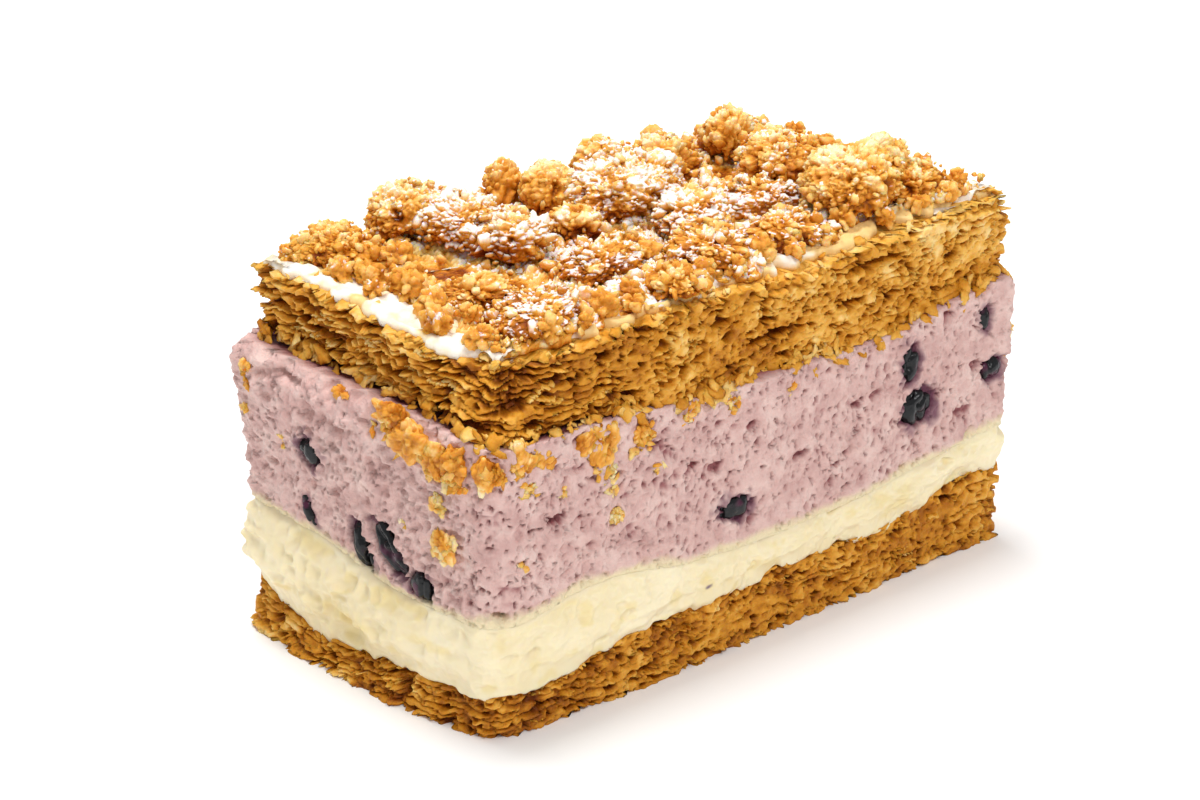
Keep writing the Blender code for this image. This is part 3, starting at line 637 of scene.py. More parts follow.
def finish_of(name, roughness, specular=0.4, scatter=0.0, radius=(1.0, 0.5, 0.25), depth=0.001):
    """A material with a Principled shader, its constants set on the shader's own sockets."""
    made = bpy.data.materials.new(name)
    made.use_nodes = True
    tree = made.node_tree
    shader = tree.nodes["Principled BSDF"].inputs
    settings = {"Roughness": roughness, "Specular IOR Level": specular, "Subsurface Weight": scatter,
                "Subsurface Radius": radius, "Subsurface Scale": depth}
    for label, value in settings.items():
        shader[label].default_value = value
    return made, tree, shader, put(tree, "ShaderNodeTexCoord").outputs["Object"]


def crust_of(tree, baked, place, stops):
    """The baked group's tone as a colour through the stops, and its grain."""
    crust = put(tree, "ShaderNodeGroup", {"Vector": place, "Tone": attribute(tree, "tone")}, node_tree=baked)
    return ramp(tree, crust.outputs["Tone"], stops), crust.outputs["Grain"]


def creamy(name, mottle, stops, tints, relief, **finish):
    """A soft finish: noise as a colour through the stops, with each tint mixed over it by its own attribute.

    mottle is the noise's scale and detail, and relief is a fine noise's scale, with its strength and depth.
    """
    made, tree, shader, place = finish_of(name, **finish)
    colour = ramp(tree, noise_of(tree, place, *mottle), stops)
    for label, tint in tints.items():
        colour = mixed(tree, attribute(tree, label), colour, (*tint, 1))
    scale, strength, distance = relief
    surfaced(tree, shader, colour, noise_of(tree, place, scale), strength, distance)
    return made


def make_materials():
    """The finishes by name: pastry, sugared crumbs, mousse, cream, icing, berries and the floor."""
    baked, sugar = baked_group(), sugar_dust_group()
    made = {}

    made["pastry"], tree, shader, place = finish_of(
        "pastry", 0.5, specular=0.2, scatter=0.2, radius=CRUST_GLOW)
    colour, grain = crust_of(tree, baked, place, PASTRY_BROWNS)
    surfaced(tree, shader, colour, grain, 0.6, 0.0004)

    made["crumbs"], tree, shader, place = finish_of(
        "crumbs", 0.45, specular=0.2, scatter=0.45, radius=CRUST_GLOW, depth=0.0012)
    colour, grain = crust_of(tree, baked, place, CRUMB_GOLDS)
    given = {"Vector": place, "Colour": colour, "Amount": attribute(tree, "dust")}
    dusted = put(tree, "ShaderNodeGroup", given, node_tree=sugar).outputs
    rough = put(tree, "ShaderNodeMapRange", {"Value": dusted["Mask"], "To Min": 0.45, "To Max": 0.9})
    tree.links.new(rough.outputs["Result"], shader["Roughness"])
    surfaced(tree, shader, dusted["Colour"], grain, 0.5, 0.0005)

    # The mousse's hollow tint is painted shade where it is sunk in
    made["berry_mousse"] = creamy(
        "mousse", (300.0, 4.0), MOUSSE_PINKS,
        {"hollow": (0.30, 0.10, 0.105), "stain": (0.13, 0.035, 0.075), "near_cream": (0.80, 0.68, 0.44)},
        (1500.0, 0.8, 0.0005),
        roughness=0.5, specular=0.3, scatter=0.2, radius=(1.0, 0.6, 0.55), depth=0.0004)
    made["vanilla_cream"] = creamy(
        "cream", (120.0, 3.0), CREAM_YELLOWS,
        {"spots": (0.78, 0.62, 0.24), "near_mousse": (0.80, 0.68, 0.46), "speck": (0.20, 0.13, 0.18)},
        (700.0, 0.3, 0.0003), roughness=0.42, scatter=0.35, radius=(1.0, 0.8, 0.4), depth=0.0012)
    made["icing"] = creamy(
        "icing", (260.0, 3.0), ICING_WHITES, {"straw": (0.86, 0.60, 0.24)},
        (900.0, 0.3, 0.0003), roughness=0.45, scatter=0.3, radius=(1.0, 0.9, 0.7))

    made["berry"], tree, shader, place = finish_of("berry", 0.2, specular=0.3)
    colour = mixed(tree, attribute(tree, "flesh"), (0.006, 0.007, 0.008, 1), (0.07, 0.012, 0.035, 1))
    surfaced(tree, shader, colour, noise_of(tree, place, 900.0), 0.35, 0.0004)

    made["floor"], _, shader, _ = finish_of("floor", 0.9, specular=0.0)
    shader["Base Color"].default_value = (0.93, 0.93, 0.93, 1)
    return made


MATERIALS = make_materials()


# Meshes

def skins(rings):
    """Closed surfaces, one for each first index: a grid through rings, wrapped round, its ends closed.

    The rings run so that round them, crossed with along them, is outward.
    """
    copies, count, around = rings.shape[:3]
    each = count * around + 2
    ends = np.stack([rings[:, 0].mean(axis=1), rings[:, -1].mean(axis=1)], axis=1)
    points = np.concatenate([rings.reshape(copies, -1, 3), ends], axis=1)
    here = np.arange(around)
    after = (here + 1) % around
    low = np.arange(count - 1)[:, None] * around
    quads = np.stack([low + here, low + after, low + around + after, low + around + here], axis=-1)
    first = np.stack([np.full(around, each - 2), after, here], axis=-1)
    top = (count - 1) * around
    last = np.stack([np.full(around, each - 1), top + here, top + after], axis=-1)
    shift = np.arange(copies)[:, None, None] * each
    faces = [
        (quads.reshape(1, -1, 4) + shift).reshape(-1, 4),
        (np.concatenate([first, last])[None] + shift).reshape(-1, 3),
    ]
    return points.reshape(-1, 3), faces


def per_point(values):
    """A value for each point of skins, from values on their rings, with each end taking its ring's mean."""
    ends = np.stack([values[:, 0].mean(axis=1), values[:, -1].mean(axis=1)], axis=1)
    return np.concatenate([values.reshape(len(values), -1), ends], axis=1).reshape(-1)


def add_piece(name, rings, finish, node, slot=None, smooth=True, **values):
    """Makes one mesh of the skins through rings, with values at its points, in the place of a node."""
    points, faces = skins(rings)
    mesh = bpy.data.meshes.new(name)
    corners = np.concatenate([part.reshape(-1) for part in faces])
    totals = np.concatenate([np.full(len(part), part.shape[1]) for part in faces])
    mesh.vertices.add(len(points))
    mesh.vertices.foreach_set("co", (points * MM).astype(np.float32).reshape(-1))
    mesh.loops.add(len(corners))
    mesh.loops.foreach_set("vertex_index", corners.astype(np.int32))
    mesh.polygons.add(len(totals))
    mesh.polygons.foreach_set("loop_start", (np.cumsum(totals) - totals).astype(np.int32))
    mesh.polygons.foreach_set("loop_total", totals.astype(np.int32))
    mesh.update(calc_edges=True)
    for label, numbers in values.items():
        numbers = per_point(np.broadcast_to(numbers, rings.shape[:-1]))
        mesh.attributes.new(label, "FLOAT", "POINT").data.foreach_set("value", numbers.astype(np.float32))
    if smooth:
        mesh.shade_smooth()
    mesh.materials.append(MATERIALS[finish])
    piece = bpy.data.objects.new(name, mesh)
    bpy.context.scene.collection.objects.link(piece)
    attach(piece, "root")
    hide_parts(node)


def layer(bottom, top, level_bottom, level_top, rows, push, cap_steps, columns=SIDE_COLUMNS):
    """Rings over a whole layer: in from the level middle under it, up its side, and back over its top.

    The side's points are the outline's, moved outward by what push gives for them, for shares of the way
    round and for shares of the way up.
    """
    share = side_shares(columns)
    shape = (rows, columns)
    up = np.linspace(0, 1, rows)[:, None]
    low, high = smooth_round(bottom, share), smooth_round(top, share)
    flat = on_side(np.broadcast_to(share, shape), low + (high - low) * up, np.zeros(shape))
    offset = push(flat, np.broadcast_to(share, shape), np.broadcast_to(up, shape))
    level_outward = np.concatenate([spread_outward(share), np.zeros((columns, 1))], axis=1)
    side = flat + level_outward * offset[..., None]
    inward = np.linspace(0, 1, cap_steps + 1)[1:, None, None]
    middle = outline(share)[0] * LEVEL_SHARE
    under_middle = np.column_stack([middle, np.full(columns, level_bottom)])
    over_middle = np.column_stack([middle, np.full(columns, level_top)])
    under = side[0] + (under_middle - side[0]) * inward[::-1]
    over = side[-1] + (over_middle - side[-1]) * inward
    return np.concatenate([under, side, over])[None]


def standing_out(rings):
    """How far each point of a layer's rings stands out from the slice's outline."""
    share = side_shares(rings.shape[-2])
    return ((rings[..., :2] - outline(share)[0]) * spread_outward(share)).sum(axis=-1)


def unit_ball(rings, around, lowest=-1.0):
    """Rings of a sphere of radius 1, from a height up to its top, without the poles."""
    height = np.cos(np.linspace(math.acos(lowest), 0, rings + 2)[1:-1])[:, None]
    turn = np.arange(around) / around * 2 * math.pi
    wide = np.sqrt(1 - height**2)
    return np.stack([wide * np.cos(turn), wide * np.sin(turn), np.broadcast_to(height, (rings, around))], -1)


def turned_randomly(shapes, rng):
    """Each shape turned to a random attitude, by the rotation of a random unit quaternion."""
    turns = rng.normal(size=(4, len(shapes)))
    w, x, y, z = turns / np.linalg.norm(turns, axis=0)
    rows = np.stack([
        np.stack([1 - 2 * (y * y + z * z), 2 * (x * y - z * w), 2 * (x * z + y * w)], -1),
        np.stack([2 * (x * y + z * w), 1 - 2 * (x * x + z * z), 2 * (y * z - x * w)], -1),
        np.stack([2 * (x * z - y * w), 2 * (y * z + x * w), 1 - 2 * (x * x + y * y)], -1),
    ], -2)
    return np.einsum("nij,n...j->n...i", rows, shapes)


def crumbs_at(places, radii, rng, around=7, rings=4, roughness=0.3, squash=(0.55, 1.3)):
    """Broken crumbs: balls with each point drawn in or out, cut flat on three sides, stretched and turned."""
    count = len(places)
    shapes = unit_ball(rings, around)[None] * (1 + roughness * rng.uniform(-1, 1, (count, rings, around, 1)))
    for _ in range(3):
        way = unit(rng.normal(size=(count, 3)))
        past = np.einsum("nrcj,nj->nrc", shapes, way) - rng.uniform(0.45, 0.85, (count, 1, 1))
        shapes = shapes - np.maximum(past, 0)[..., None] * way[:, None, None, :]
    shapes = turned_randomly(shapes * rng.uniform(*squash, (count, 1, 1, 3)), rng)
    return shapes * radii[:, None, None, None] + places[:, None, None, :]


def flakes_at(places, radii, facing, rng, around=10, thickness=0.13, curl=0.3):
    """Thin torn flakes: jagged discs, thickest in their middles, bent to saddles and set to face a way."""
    count = len(places)
    turn = np.arange(around) / around * 2 * math.pi
    edge = 1 + rng.uniform(-0.42, 0.3, (count, around))
    circle = np.stack([np.cos(turn), np.sin(turn)], -1)
    stretch = rng.uniform(0.5, 1.0, (count, 1, 1))
    bends = rng.uniform(-curl, curl, (count, 2, 1))
    rings = []
    for reach, side in ((0.55, -1), (1.0, 0), (0.55, 1)):
        flat = circle[None] * edge[..., None] * reach
        flat = flat * np.concatenate([np.ones((count, 1, 1)), stretch], -1)
        bend = bends[:, 0] * flat[..., 0] ** 2 + bends[:, 1] * flat[..., 1] ** 2 + side * thickness
        bend = bend + rng.uniform(-0.14, 0.14, bend.shape) * reach
        rings.append(np.concatenate([flat, bend[..., None]], -1))
    shapes = np.stack(rings, axis=1)
    away = unit(facing)
    side = unit(np.cross(away, rng.normal(size=(count, 3))))
    frames = np.stack([side, np.cross(away, side), away], -1)
    return np.einsum("nij,nrcj->nrci", frames, shapes) * radii[:, None, None, None] + places[:, None, None, :]


# Pastry

def tear_depth(points, tears, seed):
    """The depth of a table's tears or gaps: a ragged oval hollow at each, deepest in its middle."""
    depth = np.zeros(points.shape[:-1])
    ragged = noises(points, (0.35, 1.3, seed), (0.2, 0.6, seed + 1))
    for x, y, z, across, up, deep in tears:
        local = points - (x, y, z)
        along, away = (1, 0) if abs(x) > LENGTH / 2 - 1 else (0, 1)
        reach = np.hypot(local[..., along] / across, local[..., 2] / up) + ragged
        depth = np.maximum(depth, deep * (1 - eased(0.55, 1.1, reach)) * (np.abs(local[..., away]) < 6))
    return depth


def torn_sheets(flat, up, sheets, seed):
    """How far stacked sheets stand out: 2.5 mm and its own noise for each, less where it is broken.

    The sheets wander up and down by noise, and between them the side falls 2.6 mm back. Each reads its own
    noise at a height of its own.
    """
    wander = noises(flat * (1, 1, 1.2), (0.9, 8.0, seed), (0.8, 3.2, seed + 1))
    place = up * sheets + wander + 0.3 * soft_noise(flat, 1.1, seed + 8)
    sheet = np.floor(place)
    own = np.stack([flat[..., 0], flat[..., 1], sheet * SHEETS_APART], -1)
    gap = 0.02 + 0.2 * soft_noise(own, 3.0, seed + 6) + 0.2 * eased(0.1, 0.6, soft_noise(flat, 5.0, seed + 7))
    lip = eased(0.0, 0.14, 0.5 - np.abs(place - sheet - 0.5) - gap)
    reach = noises(own, (0.6, 5.0, seed + 2), (0.6, 1.8, seed + 3), (0.3, 0.8, seed + 4))
    broken = eased(0.1, 0.4, soft_noise(own, 2.6, seed + 5))
    return lip * (2.5 + reach) * (1 - 0.65 * broken) - 2.6


def porous_face(flat, seed):
    """Baked pastry cut across: noise, less the deeper of angular holes and round pits, less wide caves.

    An angular hole is the inside of a cell, away from the borders that it shares with its neighbours.
    """
    bent = warped(flat, 1.4, 0.4, seed + 20)
    walls = noises(flat, (0.3, 2.0, seed + 9), (0.2, 0.8, seed + 10))
    near, second, value = scattered_cells(bent * (0.8, 0.8, 1.2), 1.25, seed)
    holes = 2.0 * eased(0.16, 0.45, second - near) * (value < 0.5)
    small = pits(bent, 0.75, 0.32, 1.0, 0.5, seed + 12)
    wide_near, _, wide = scattered_cells(bent * (0.55, 0.55, 1.4), 3.2, seed + 5)
    caves = (1 - eased(0.6, 1.0, wide_near + 0.3 * soft_noise(flat, 0.9, seed + 11))) * (wide < 0.35)
    return 0.25 + walls - np.maximum(holes, small) - 1.6 * caves


def pastry_rings(side, levels, sheets, rows, columns, packed, seed):
    """Rings of a pastry layer, whose side is its bottom's heights, its top's heights and its loss."""
    bottom, top, loss = side

    def push(flat, share, up):
        """Torn sheets with pores, or pores alone where the knife has packed them, on broad lumps.

        The table's gaps are taken out, hollows are made shallower at the near corner, and the loss comes off.
        """
        packed_share = np.clip(packed(share, up) + 0.4 * soft_noise(flat, 5.0, seed + 30), 0, 1)
        pores = porous_face(flat, seed + 40)
        torn = torn_sheets(flat, up, sheets, seed)
        relief = (torn + 0.7 * pores) * (1 - packed_share) + (pores + 0.1 * torn + 0.1) * packed_share
        relief = relief + 0.6 * soft_noise(flat, 9.0, seed + 31) - tear_depth(flat, GAPS, seed + 33)
        shallow = np.where(relief < 0, 1 - 0.55 * near_corner(share, 7.0), 1.0)
        return relief * shallow - loss(share, up)

    return layer(bottom, top, *levels, rows, push, PASTRY_CAP_STEPS, columns)


def sheet_strips(side, count, rng, where, along=14):
    """Torn edges of pastry sheets that stand out of the side, each a short curled strip, with their tones.

    A strip runs along the outline about its own place, its edge toothed by random steps and its height
    waving. Its section runs from deep inside along its top to the edge, and back underneath.
    """
    bottom, top, loss = side
    middle, level = where(count)
    kept = near_corner(middle, 6.0) < 0.2
    middle, level = middle[kept][:, None], level[kept][:, None]
    count = len(middle)
    step = np.linspace(-0.5, 0.5, along)
    share = middle + rng.uniform(*STRIP_LENGTHS, (count, 1)) * step / PERIMETER
    low, high = smooth_round(bottom, share), smooth_round(top, share)
    flat = on_side(share, low + (high - low) * level, np.zeros(share.shape))
    wave = 0.5 * soft_noise(flat * (1, 1, 2.5), 4.5, 5) + 0.3 * soft_noise(flat * (1, 1, 3), 1.3, 6)
    slope = rng.uniform(-0.9, 0.9, (count, 1)) * step
    height = flat[..., 2] + wave + slope + rng.uniform(-0.12, 0.12, share.shape)
    height = np.clip(height, low + 0.2, high - 0.05)
    out = rng.uniform(-1.2, 0.7, (count, 1)) + 0.5 * soft_noise(flat, 9.0, 7)
    out = out + rng.uniform(-0.6, 0.4, share.shape) - loss(share, level)
    fade = 1 - (2 * np.abs(step)) ** 4
    thin = rng.uniform(0.2, 0.42, (count, 1)) * (0.4 + 0.6 * fade) * rng.uniform(0.7, 1.3, share.shape)
    droop = rng.uniform(-0.5, 0.35, (count, 1))
    rings = []
    for depth, lift, _ in STRIP_SECTION:
        hang = droop * max(0.0, 1 - depth) ** 2
        rings.append(on_side(share, height + lift * thin + hang, out * fade - (1 - fade) * 1.5 - depth))
    # Each strip's tones follow its section, painted dark deep inside as shade, shifted at random for each
    # strip
    tone = rng.uniform(-0.16, 0.16, (count, 1, 1)) + [tone for _, _, tone in STRIP_SECTION]
    return np.stack(rings, axis=2), np.broadcast_to(tone, (count, along, len(STRIP_SECTION)))


def pastry_tone(rings, loss):
    """Tones of a pastry layer: painted dark deep in its hollows as shade, and paler where it stands out as
    light, mottled by noise.
    """
    share = side_shares(rings.shape[-2])
    rows = rings.shape[1] - 2 * PASTRY_CAP_STEPS
    up = np.clip((np.arange(rings.shape[1]) - PASTRY_CAP_STEPS) / (rows - 1), 0, 1)[:, None]
    out = standing_out(rings) + loss(share, up)
    # Painted shade and light: darker the deeper a point lies in the side, paler the further it stands out
    shade = np.interp(out, (-3.0, -1.6, -0.6, 0.4, 1.2), (0.0, 0.15, 0.5, 0.7, 0.92))
    shade = np.where(up >= 1, np.maximum(shade, 0.8), shade)
    return shade + noises(rings, (0.12, 3.0, 25), (0.1, 0.8, 26))


def lid_loss(share, up):
    """How far the lid is set back: its foot over the mousse's shelf, its top by wear at the near corner."""
    worn = LID_CORNER_LOSS * near_corner(share, LID_CORNER_REACH)
    return LID_UNDERCUT * near_shelf(share) * (1 - up) + worn * up


def base_loss(share, up):
    """How far the base is set back by wear at the near corner, less how far its foot stands out elsewhere."""
    worn = BASE_CORNER_LOSS * near_corner(share, BASE_CORNER_REACH)
    far = np.exp(-(((share % 1 - 0.83) / 0.03) ** 2))
    return (worn - BASE_SHELF * near_shelf(share) * (1 - 0.5 * far)) * (1 - up) + 0.4 * worn * up


def lid_packed(share, up):
    """How packed the lid's side is: by the knife along the long cut face, a little less near its top."""
    return on_front(share) * (0.5 + 0.5 * eased(0.02, 0.10, share % 1)) - 0.15 * eased(0.7, 0.95, up)


def base_packed(share, up):
    """How packed the base's side is: in part everywhere, most along the long cut face, at any height."""
    return 0.6 + 0.3 * on_front(share) + 0 * up


def build_pastry(rng):
    """The lid and the base, each a core whose side is carved by relief, with strips of torn sheet over it."""
    def over_lid(count):
        """Shares round and shares up for the strips of the lid: even draws, fewer kept where it is packed."""
        middle = rng.uniform(0, 1, 3 * count)
        level = rng.uniform(0.02, 0.98, 3 * count)
        kept = rng.uniform(0, 1, 3 * count) > 1.05 * lid_packed(middle, level)
        return middle[kept][:count], level[kept][:count]

    def over_base(count):
        """Shares round and shares up for the strips of the base: even draws."""
        return rng.uniform(0, 1, count), rng.uniform(0.04, 0.96, count)

    side = (np.array(MOUSSE_TOP) + JOINT_GAP, LID_TOP, lid_loss)
    levels = (LEVEL_MOUSSE_TOP + JOINT_GAP, LEVEL_LID_TOP)
    rings = pastry_rings(side, levels, LID_SHEETS, LID_ROWS, LID_COLUMNS, lid_packed, 31)
    on_top = eased(-0.8, -0.2, rings[..., 2] - lid_height(rings[..., 0], rings[..., 1]))
    rings[..., 2] += 0.5 * rough_noise(rings, 1.6, 27) * on_top
    share = side_shares(LID_COLUMNS)
    tone = pastry_tone(rings, lid_loss) + 0.1 * near_shelf(share) - 0.16 * near_corner(share, 55.0)
    add_piece("lid_core", rings, "pastry", "lid_pastry", tone=tone)
    strips, tone = sheet_strips(side, LID_STRIPS, rng, over_lid)
    add_piece("lid_sheets", strips, "pastry", "lid_pastry", tone=tone)

    side = (np.zeros(len(BASE_TOP)), np.array(BASE_TOP) - JOINT_GAP, base_loss)
    levels = (0.0, LEVEL_BASE_TOP - JOINT_GAP)
    rings = pastry_rings(side, levels, BASE_SHEETS, BASE_ROWS, SIDE_COLUMNS, base_packed, 61)
    rings[..., 2] = np.maximum(rings[..., 2], 0.0)
    pale = eased(0.1, 0.6, soft_noise(rings, 3.4, 64)) * near_shelf(side_shares(SIDE_COLUMNS))
    # The base's tone is lowered by 0.16 all over, painted shade under the layers above it
    tone = pastry_tone(rings, base_loss) - 0.16 + 0.35 * pale
    add_piece("base_core", rings, "pastry", "base_pastry", tone=tone)
    strips, tone = sheet_strips(side, BASE_STRIPS, rng, over_base)
    strips[..., 2] = np.maximum(strips[..., 2], 0.02)
    # The base's strips are lowered by the same amount, painted shade under the layers above
    add_piece("base_sheets", strips, "pastry", "base_pastry", tone=tone - 0.16)


def build_rim_flakes(rng):
    """Flakes and bits of the top sheet that lie along the lid's upper edge, more of them where it is torn."""
    share = rng.uniform(0, 1, RIM_FLAKES)
    share = share[rng.uniform(0, 1, RIM_FLAKES) > 0.5 * near_shelf(share) + 0.4 * on_front(share)]
    count = len(share)
    inward = rng.uniform(-0.5, 3.2, count) ** 2 / 3.2
    places = lid_edge(share, inward)
    places[:, 2] += rng.uniform(0.0, 0.5, count) + 0.9 * eased(1.2, 2.2, inward)
    outward = outline(share)[1]
    facing = np.column_stack([outward * rng.uniform(-0.3, 0.9, (count, 1)), np.ones(count)])
    facing = facing + rng.normal(0, 0.35, (count, 3))
    shapes = flakes_at(places, rng.uniform(0.4, 1.15, count), facing, rng, thickness=0.2)
    tone = np.clip(rng.normal(0.78, 0.12, count), 0.3, 1.0)
    add_piece("rim_flakes", shapes, "pastry", "lid_pastry", tone=tone[:, None, None])


# Creams

def berry_distance(points):
    """How far points lie from the nearest berry, in its own half sizes."""
    nearest = np.full(points.shape[:-1], 9.0)
    for x, y, z, half_x, half_y, half_z, lean in BERRIES.values():
        angle = math.radians(-lean)
        local = points - (x, y, z)
        turned_y = local[..., 1] * math.cos(angle) + local[..., 2] * math.sin(angle)
        turned_z = -local[..., 1] * math.sin(angle) + local[..., 2] * math.cos(angle)
        stretched = np.stack([local[..., 0] / half_x, turned_y / half_y, turned_z / half_z], -1)
        nearest = np.minimum(nearest, np.linalg.norm(stretched, axis=-1))
    return nearest


def joint_out(share):
    """How far out the mousse and the cream meet at their joint: a small offset and noise round the slice."""
    return 0.55 + noises(on_side(share, 18.0, 0 * share), (0.3, 9.0, 45), (0.12, 3.0, 46))


def smeared(points):
    """1 where the knife has smeared the mousse smooth, in soft patches, and 0 elsewhere."""
    spot = np.exp(-((points[..., 0] + 14) / 10) ** 2 - ((points[..., 2] - 27) / 6) ** 2)
    patches = noises(points, (1.0, 13.0, 17), (0.4, 5.0, 18)) + 1.1 * spot * (points[..., 1] < 0)
    return eased(0.5, 0.95, patches)


def mousse_offset(flat, share, up):
    """The mousse's side: lumps, folds, ridges and froth, less pits in three sizes, tears and berries' dips.

    It swells out to its shelf over the short cut face, where its upper edge is crumpled, and a little at the
    far end. Pits, folds and froth fade where it is smeared.
    """
    torn = noises(flat, (1.0, 9.0, 19)) + 0.6 * near_shelf(share) + near_corner(share, 30) - 0.4
    bent = warped(flat, 1.6, 0.6, 21)
    folds = 1.3 * (0.35 - np.abs(soft_noise(bent * (1, 1, 1.4), 2.0, 7))) * eased(-0.2, 0.5, torn)
    ridges = 0.5 * (0.3 - np.abs(soft_noise(bent, 1.1, 8)))
    froth = ridges + 0.26 * soft_noise(flat, 0.6, 6)
    holes = pits(bent, 0.85, 0.36, 0.75, 0.5, 11) + pits(bent, 1.75, 0.6, 0.9, 0.2, 12)
    holes = holes + pits(bent * (0.7, 0.7, 1.3), 4.0, 1.1, 1.1, 0.16, 13)
    relief = noises(flat, (0.5, 8.0, 3), (0.3, 3.0, 4)) + (froth + folds - holes) * (1 - 0.85 * smeared(flat))
    swell = np.interp(up, (0, 0.1, 0.35, 0.62, 0.84, 0.94, 1), (0, 0.2, 0.4, 0.75, 1, 0.85, 0.3))
    shelf = (MOUSSE_SHELF * near_shelf(share) + MOUSSE_END * near_end(share)) * swell
    crumpled = 0.9 * soft_noise(bent, 2.6, 23) + 0.4 * soft_noise(flat, 1.2, 24) - 0.3
    shelf = shelf + eased(0.7, 0.9, up) * near_shelf(share) * crumpled
    wobble = noises(flat, (0.2, 1.8, 16), (0.2, 0.8, 22))
    dip = 1.3 * (1 - eased(0.92, 1.1, berry_distance(flat) + wobble))
    relief = (0.1 + relief) * eased(-0.02, 0.05, up)
    return joint_out(share) + relief + shelf - dip - tear_depth(flat, TEARS, 15)


def build_mousse():
    """The mousse: a layer, its top roughened over the shelf.

    Its values are how near it is to the cream, how stained by a berry, and how deep in a hollow, where it is
    painted darker as shade.
    """
    bottom = np.array(CREAM_TOP) - MOUSSE_PAST_JOINT
    top = np.array(MOUSSE_TOP) - JOINT_GAP
    rings = layer(bottom, top, LEVEL_CREAM_TOP + JOINT_GAP, LEVEL_MOUSSE_TOP - JOINT_GAP, MOUSSE_ROWS,
                  mousse_offset, MOUSSE_CAP_STEPS)
    share = side_shares(SIDE_COLUMNS)
    on_top = eased(0.0, 0.3, rings[..., 2] - smooth_round(top, share) + 0.2)
    rings[..., 2] += 0.8 * soft_noise(rings, 2.2, 47) * on_top * near_shelf(share)
    above = rings[..., 2] - smooth_round(CREAM_TOP, share)
    near_cream = 1 - eased(0.0, 1.7, above + noises(rings, (0.8, 5.0, 41), (0.35, 1.2, 42)))
    ragged = noises(rings, (0.35, 2.4, 44), (0.25, 0.9, 43))
    stain = 0.85 * (1 - eased(0.95, 1.6, berry_distance(rings) + ragged))
    # Painted shade: how far the mousse is sunk in, darkening its pits, tears and dips
    sunk = standing_out(rings) - 0.45 * soft_noise(rings, 8.0, 3) - joint_out(share)
    add_piece("mousse", rings, "berry_mousse", "berry_mousse",
              near_cream=near_cream, stain=stain, hollow=1 - eased(-0.8, -0.05, sunk))


def cream_notch(points, height):
    """1 in a soft oval notch at a height in the cream's left end, falling to 0 round it."""
    oval = ((points[..., 1] - 4.5) / 3.6) ** 2 + ((points[..., 2] - height) / 2.2) ** 2
    return np.exp(-oval) * (points[..., 0] < -50)


def cream_offset(flat, share, up):
    """The cream's side: a bulge between its joints, with soft waves, scrapes of the knife, dents, a notch."""
    waves = noises(flat * (1, 1, 1.5), (0.5, 9.0, 51), (0.6, 3.2, 52))
    torn = 0.8 * (0.3 - np.abs(soft_noise(warped(flat, 2.0, 0.6, 59) * (1, 1, 1.3), 2.6, 60)))
    scrapes = (0.25 * soft_noise(flat * (1, 1, 1.4), 1.3, 53) + torn) * (0.7 + 0.9 * near_shelf(share))
    scrapes = scrapes + 0.12 * soft_noise(flat * (1, 1, 1.4), 0.6, 54)
    dents = pits(warped(flat * (0.7, 0.7, 1.2), 2.0, 0.6, 57), 4.2, 1.3, 0.7, 0.4, 56)
    bulge = CREAM_BULGE + CREAM_SHELF * near_shelf(share)
    bulge = bulge - CREAM_CORNER_LOSS * near_corner(share, LID_CORNER_REACH)
    meeting = joint_out(share) * up - 0.3 * eased(0.95, 1.0, up)
    ends = eased(0, 0.12, up) * (1 - eased(0.88, 0.97, up))
    relief = waves + scrapes - dents - 2.2 * cream_notch(flat, 8.6)
    return bulge * np.sin(math.pi * up) ** 1.2 + meeting + relief * ends


def build_cream():
    """The cream: a layer, its foot drawn down in drips by noise that is the same at every height.

    Its values are how near it is to the mousse, how deep a yellow it is in spots, and the dark speck.
    """
    share = side_shares(SIDE_COLUMNS)
    bottom = np.array(BASE_TOP) + JOINT_GAP
    top = np.array(CREAM_TOP) + CREAM_PAST_JOINT
    rings = layer(bottom, top, LEVEL_BASE_TOP + JOINT_GAP, LEVEL_CREAM_TOP - JOINT_GAP, CREAM_ROWS,
                  cream_offset, CREAM_CAP_STEPS)
    foot = smooth_round(bottom, share) - rings[..., 2]
    drips = 0.5 + noises(rings * (1, 1, 0.1), (1.3, 3.4, 61), (0.6, 1.2, 62))
    rings[..., 2] -= np.clip(drips, -0.3, 1.6) * eased(-1.6, -0.2, foot) * (standing_out(rings) > -1)
    below = smooth_round(top, share) - rings[..., 2]
    near_mousse = 1 - eased(-0.2, 1.2, below + 0.7 * soft_noise(rings, 4.0, 55))
    spots = eased(0.2, 0.7, soft_noise(rings * (1, 1, 1.4), 3.0, 57) + 0.3 * soft_noise(rings, 1.0, 58))
    from_speck = (rings - CREAM_SPECK) / (1.1, 1.5, 0.45) + 0.4 * soft_noise(rings, 0.7, 63)[..., None]
    speck = 1 - eased(0.4, 1.1, np.linalg.norm(from_speck, axis=-1))
    add_piece("cream", rings, "vanilla_cream", "vanilla_cream", near_mousse=near_mousse,
              spots=np.maximum(0.45 * spots, 0.8 * cream_notch(rings, 9.6)), speck=speck)


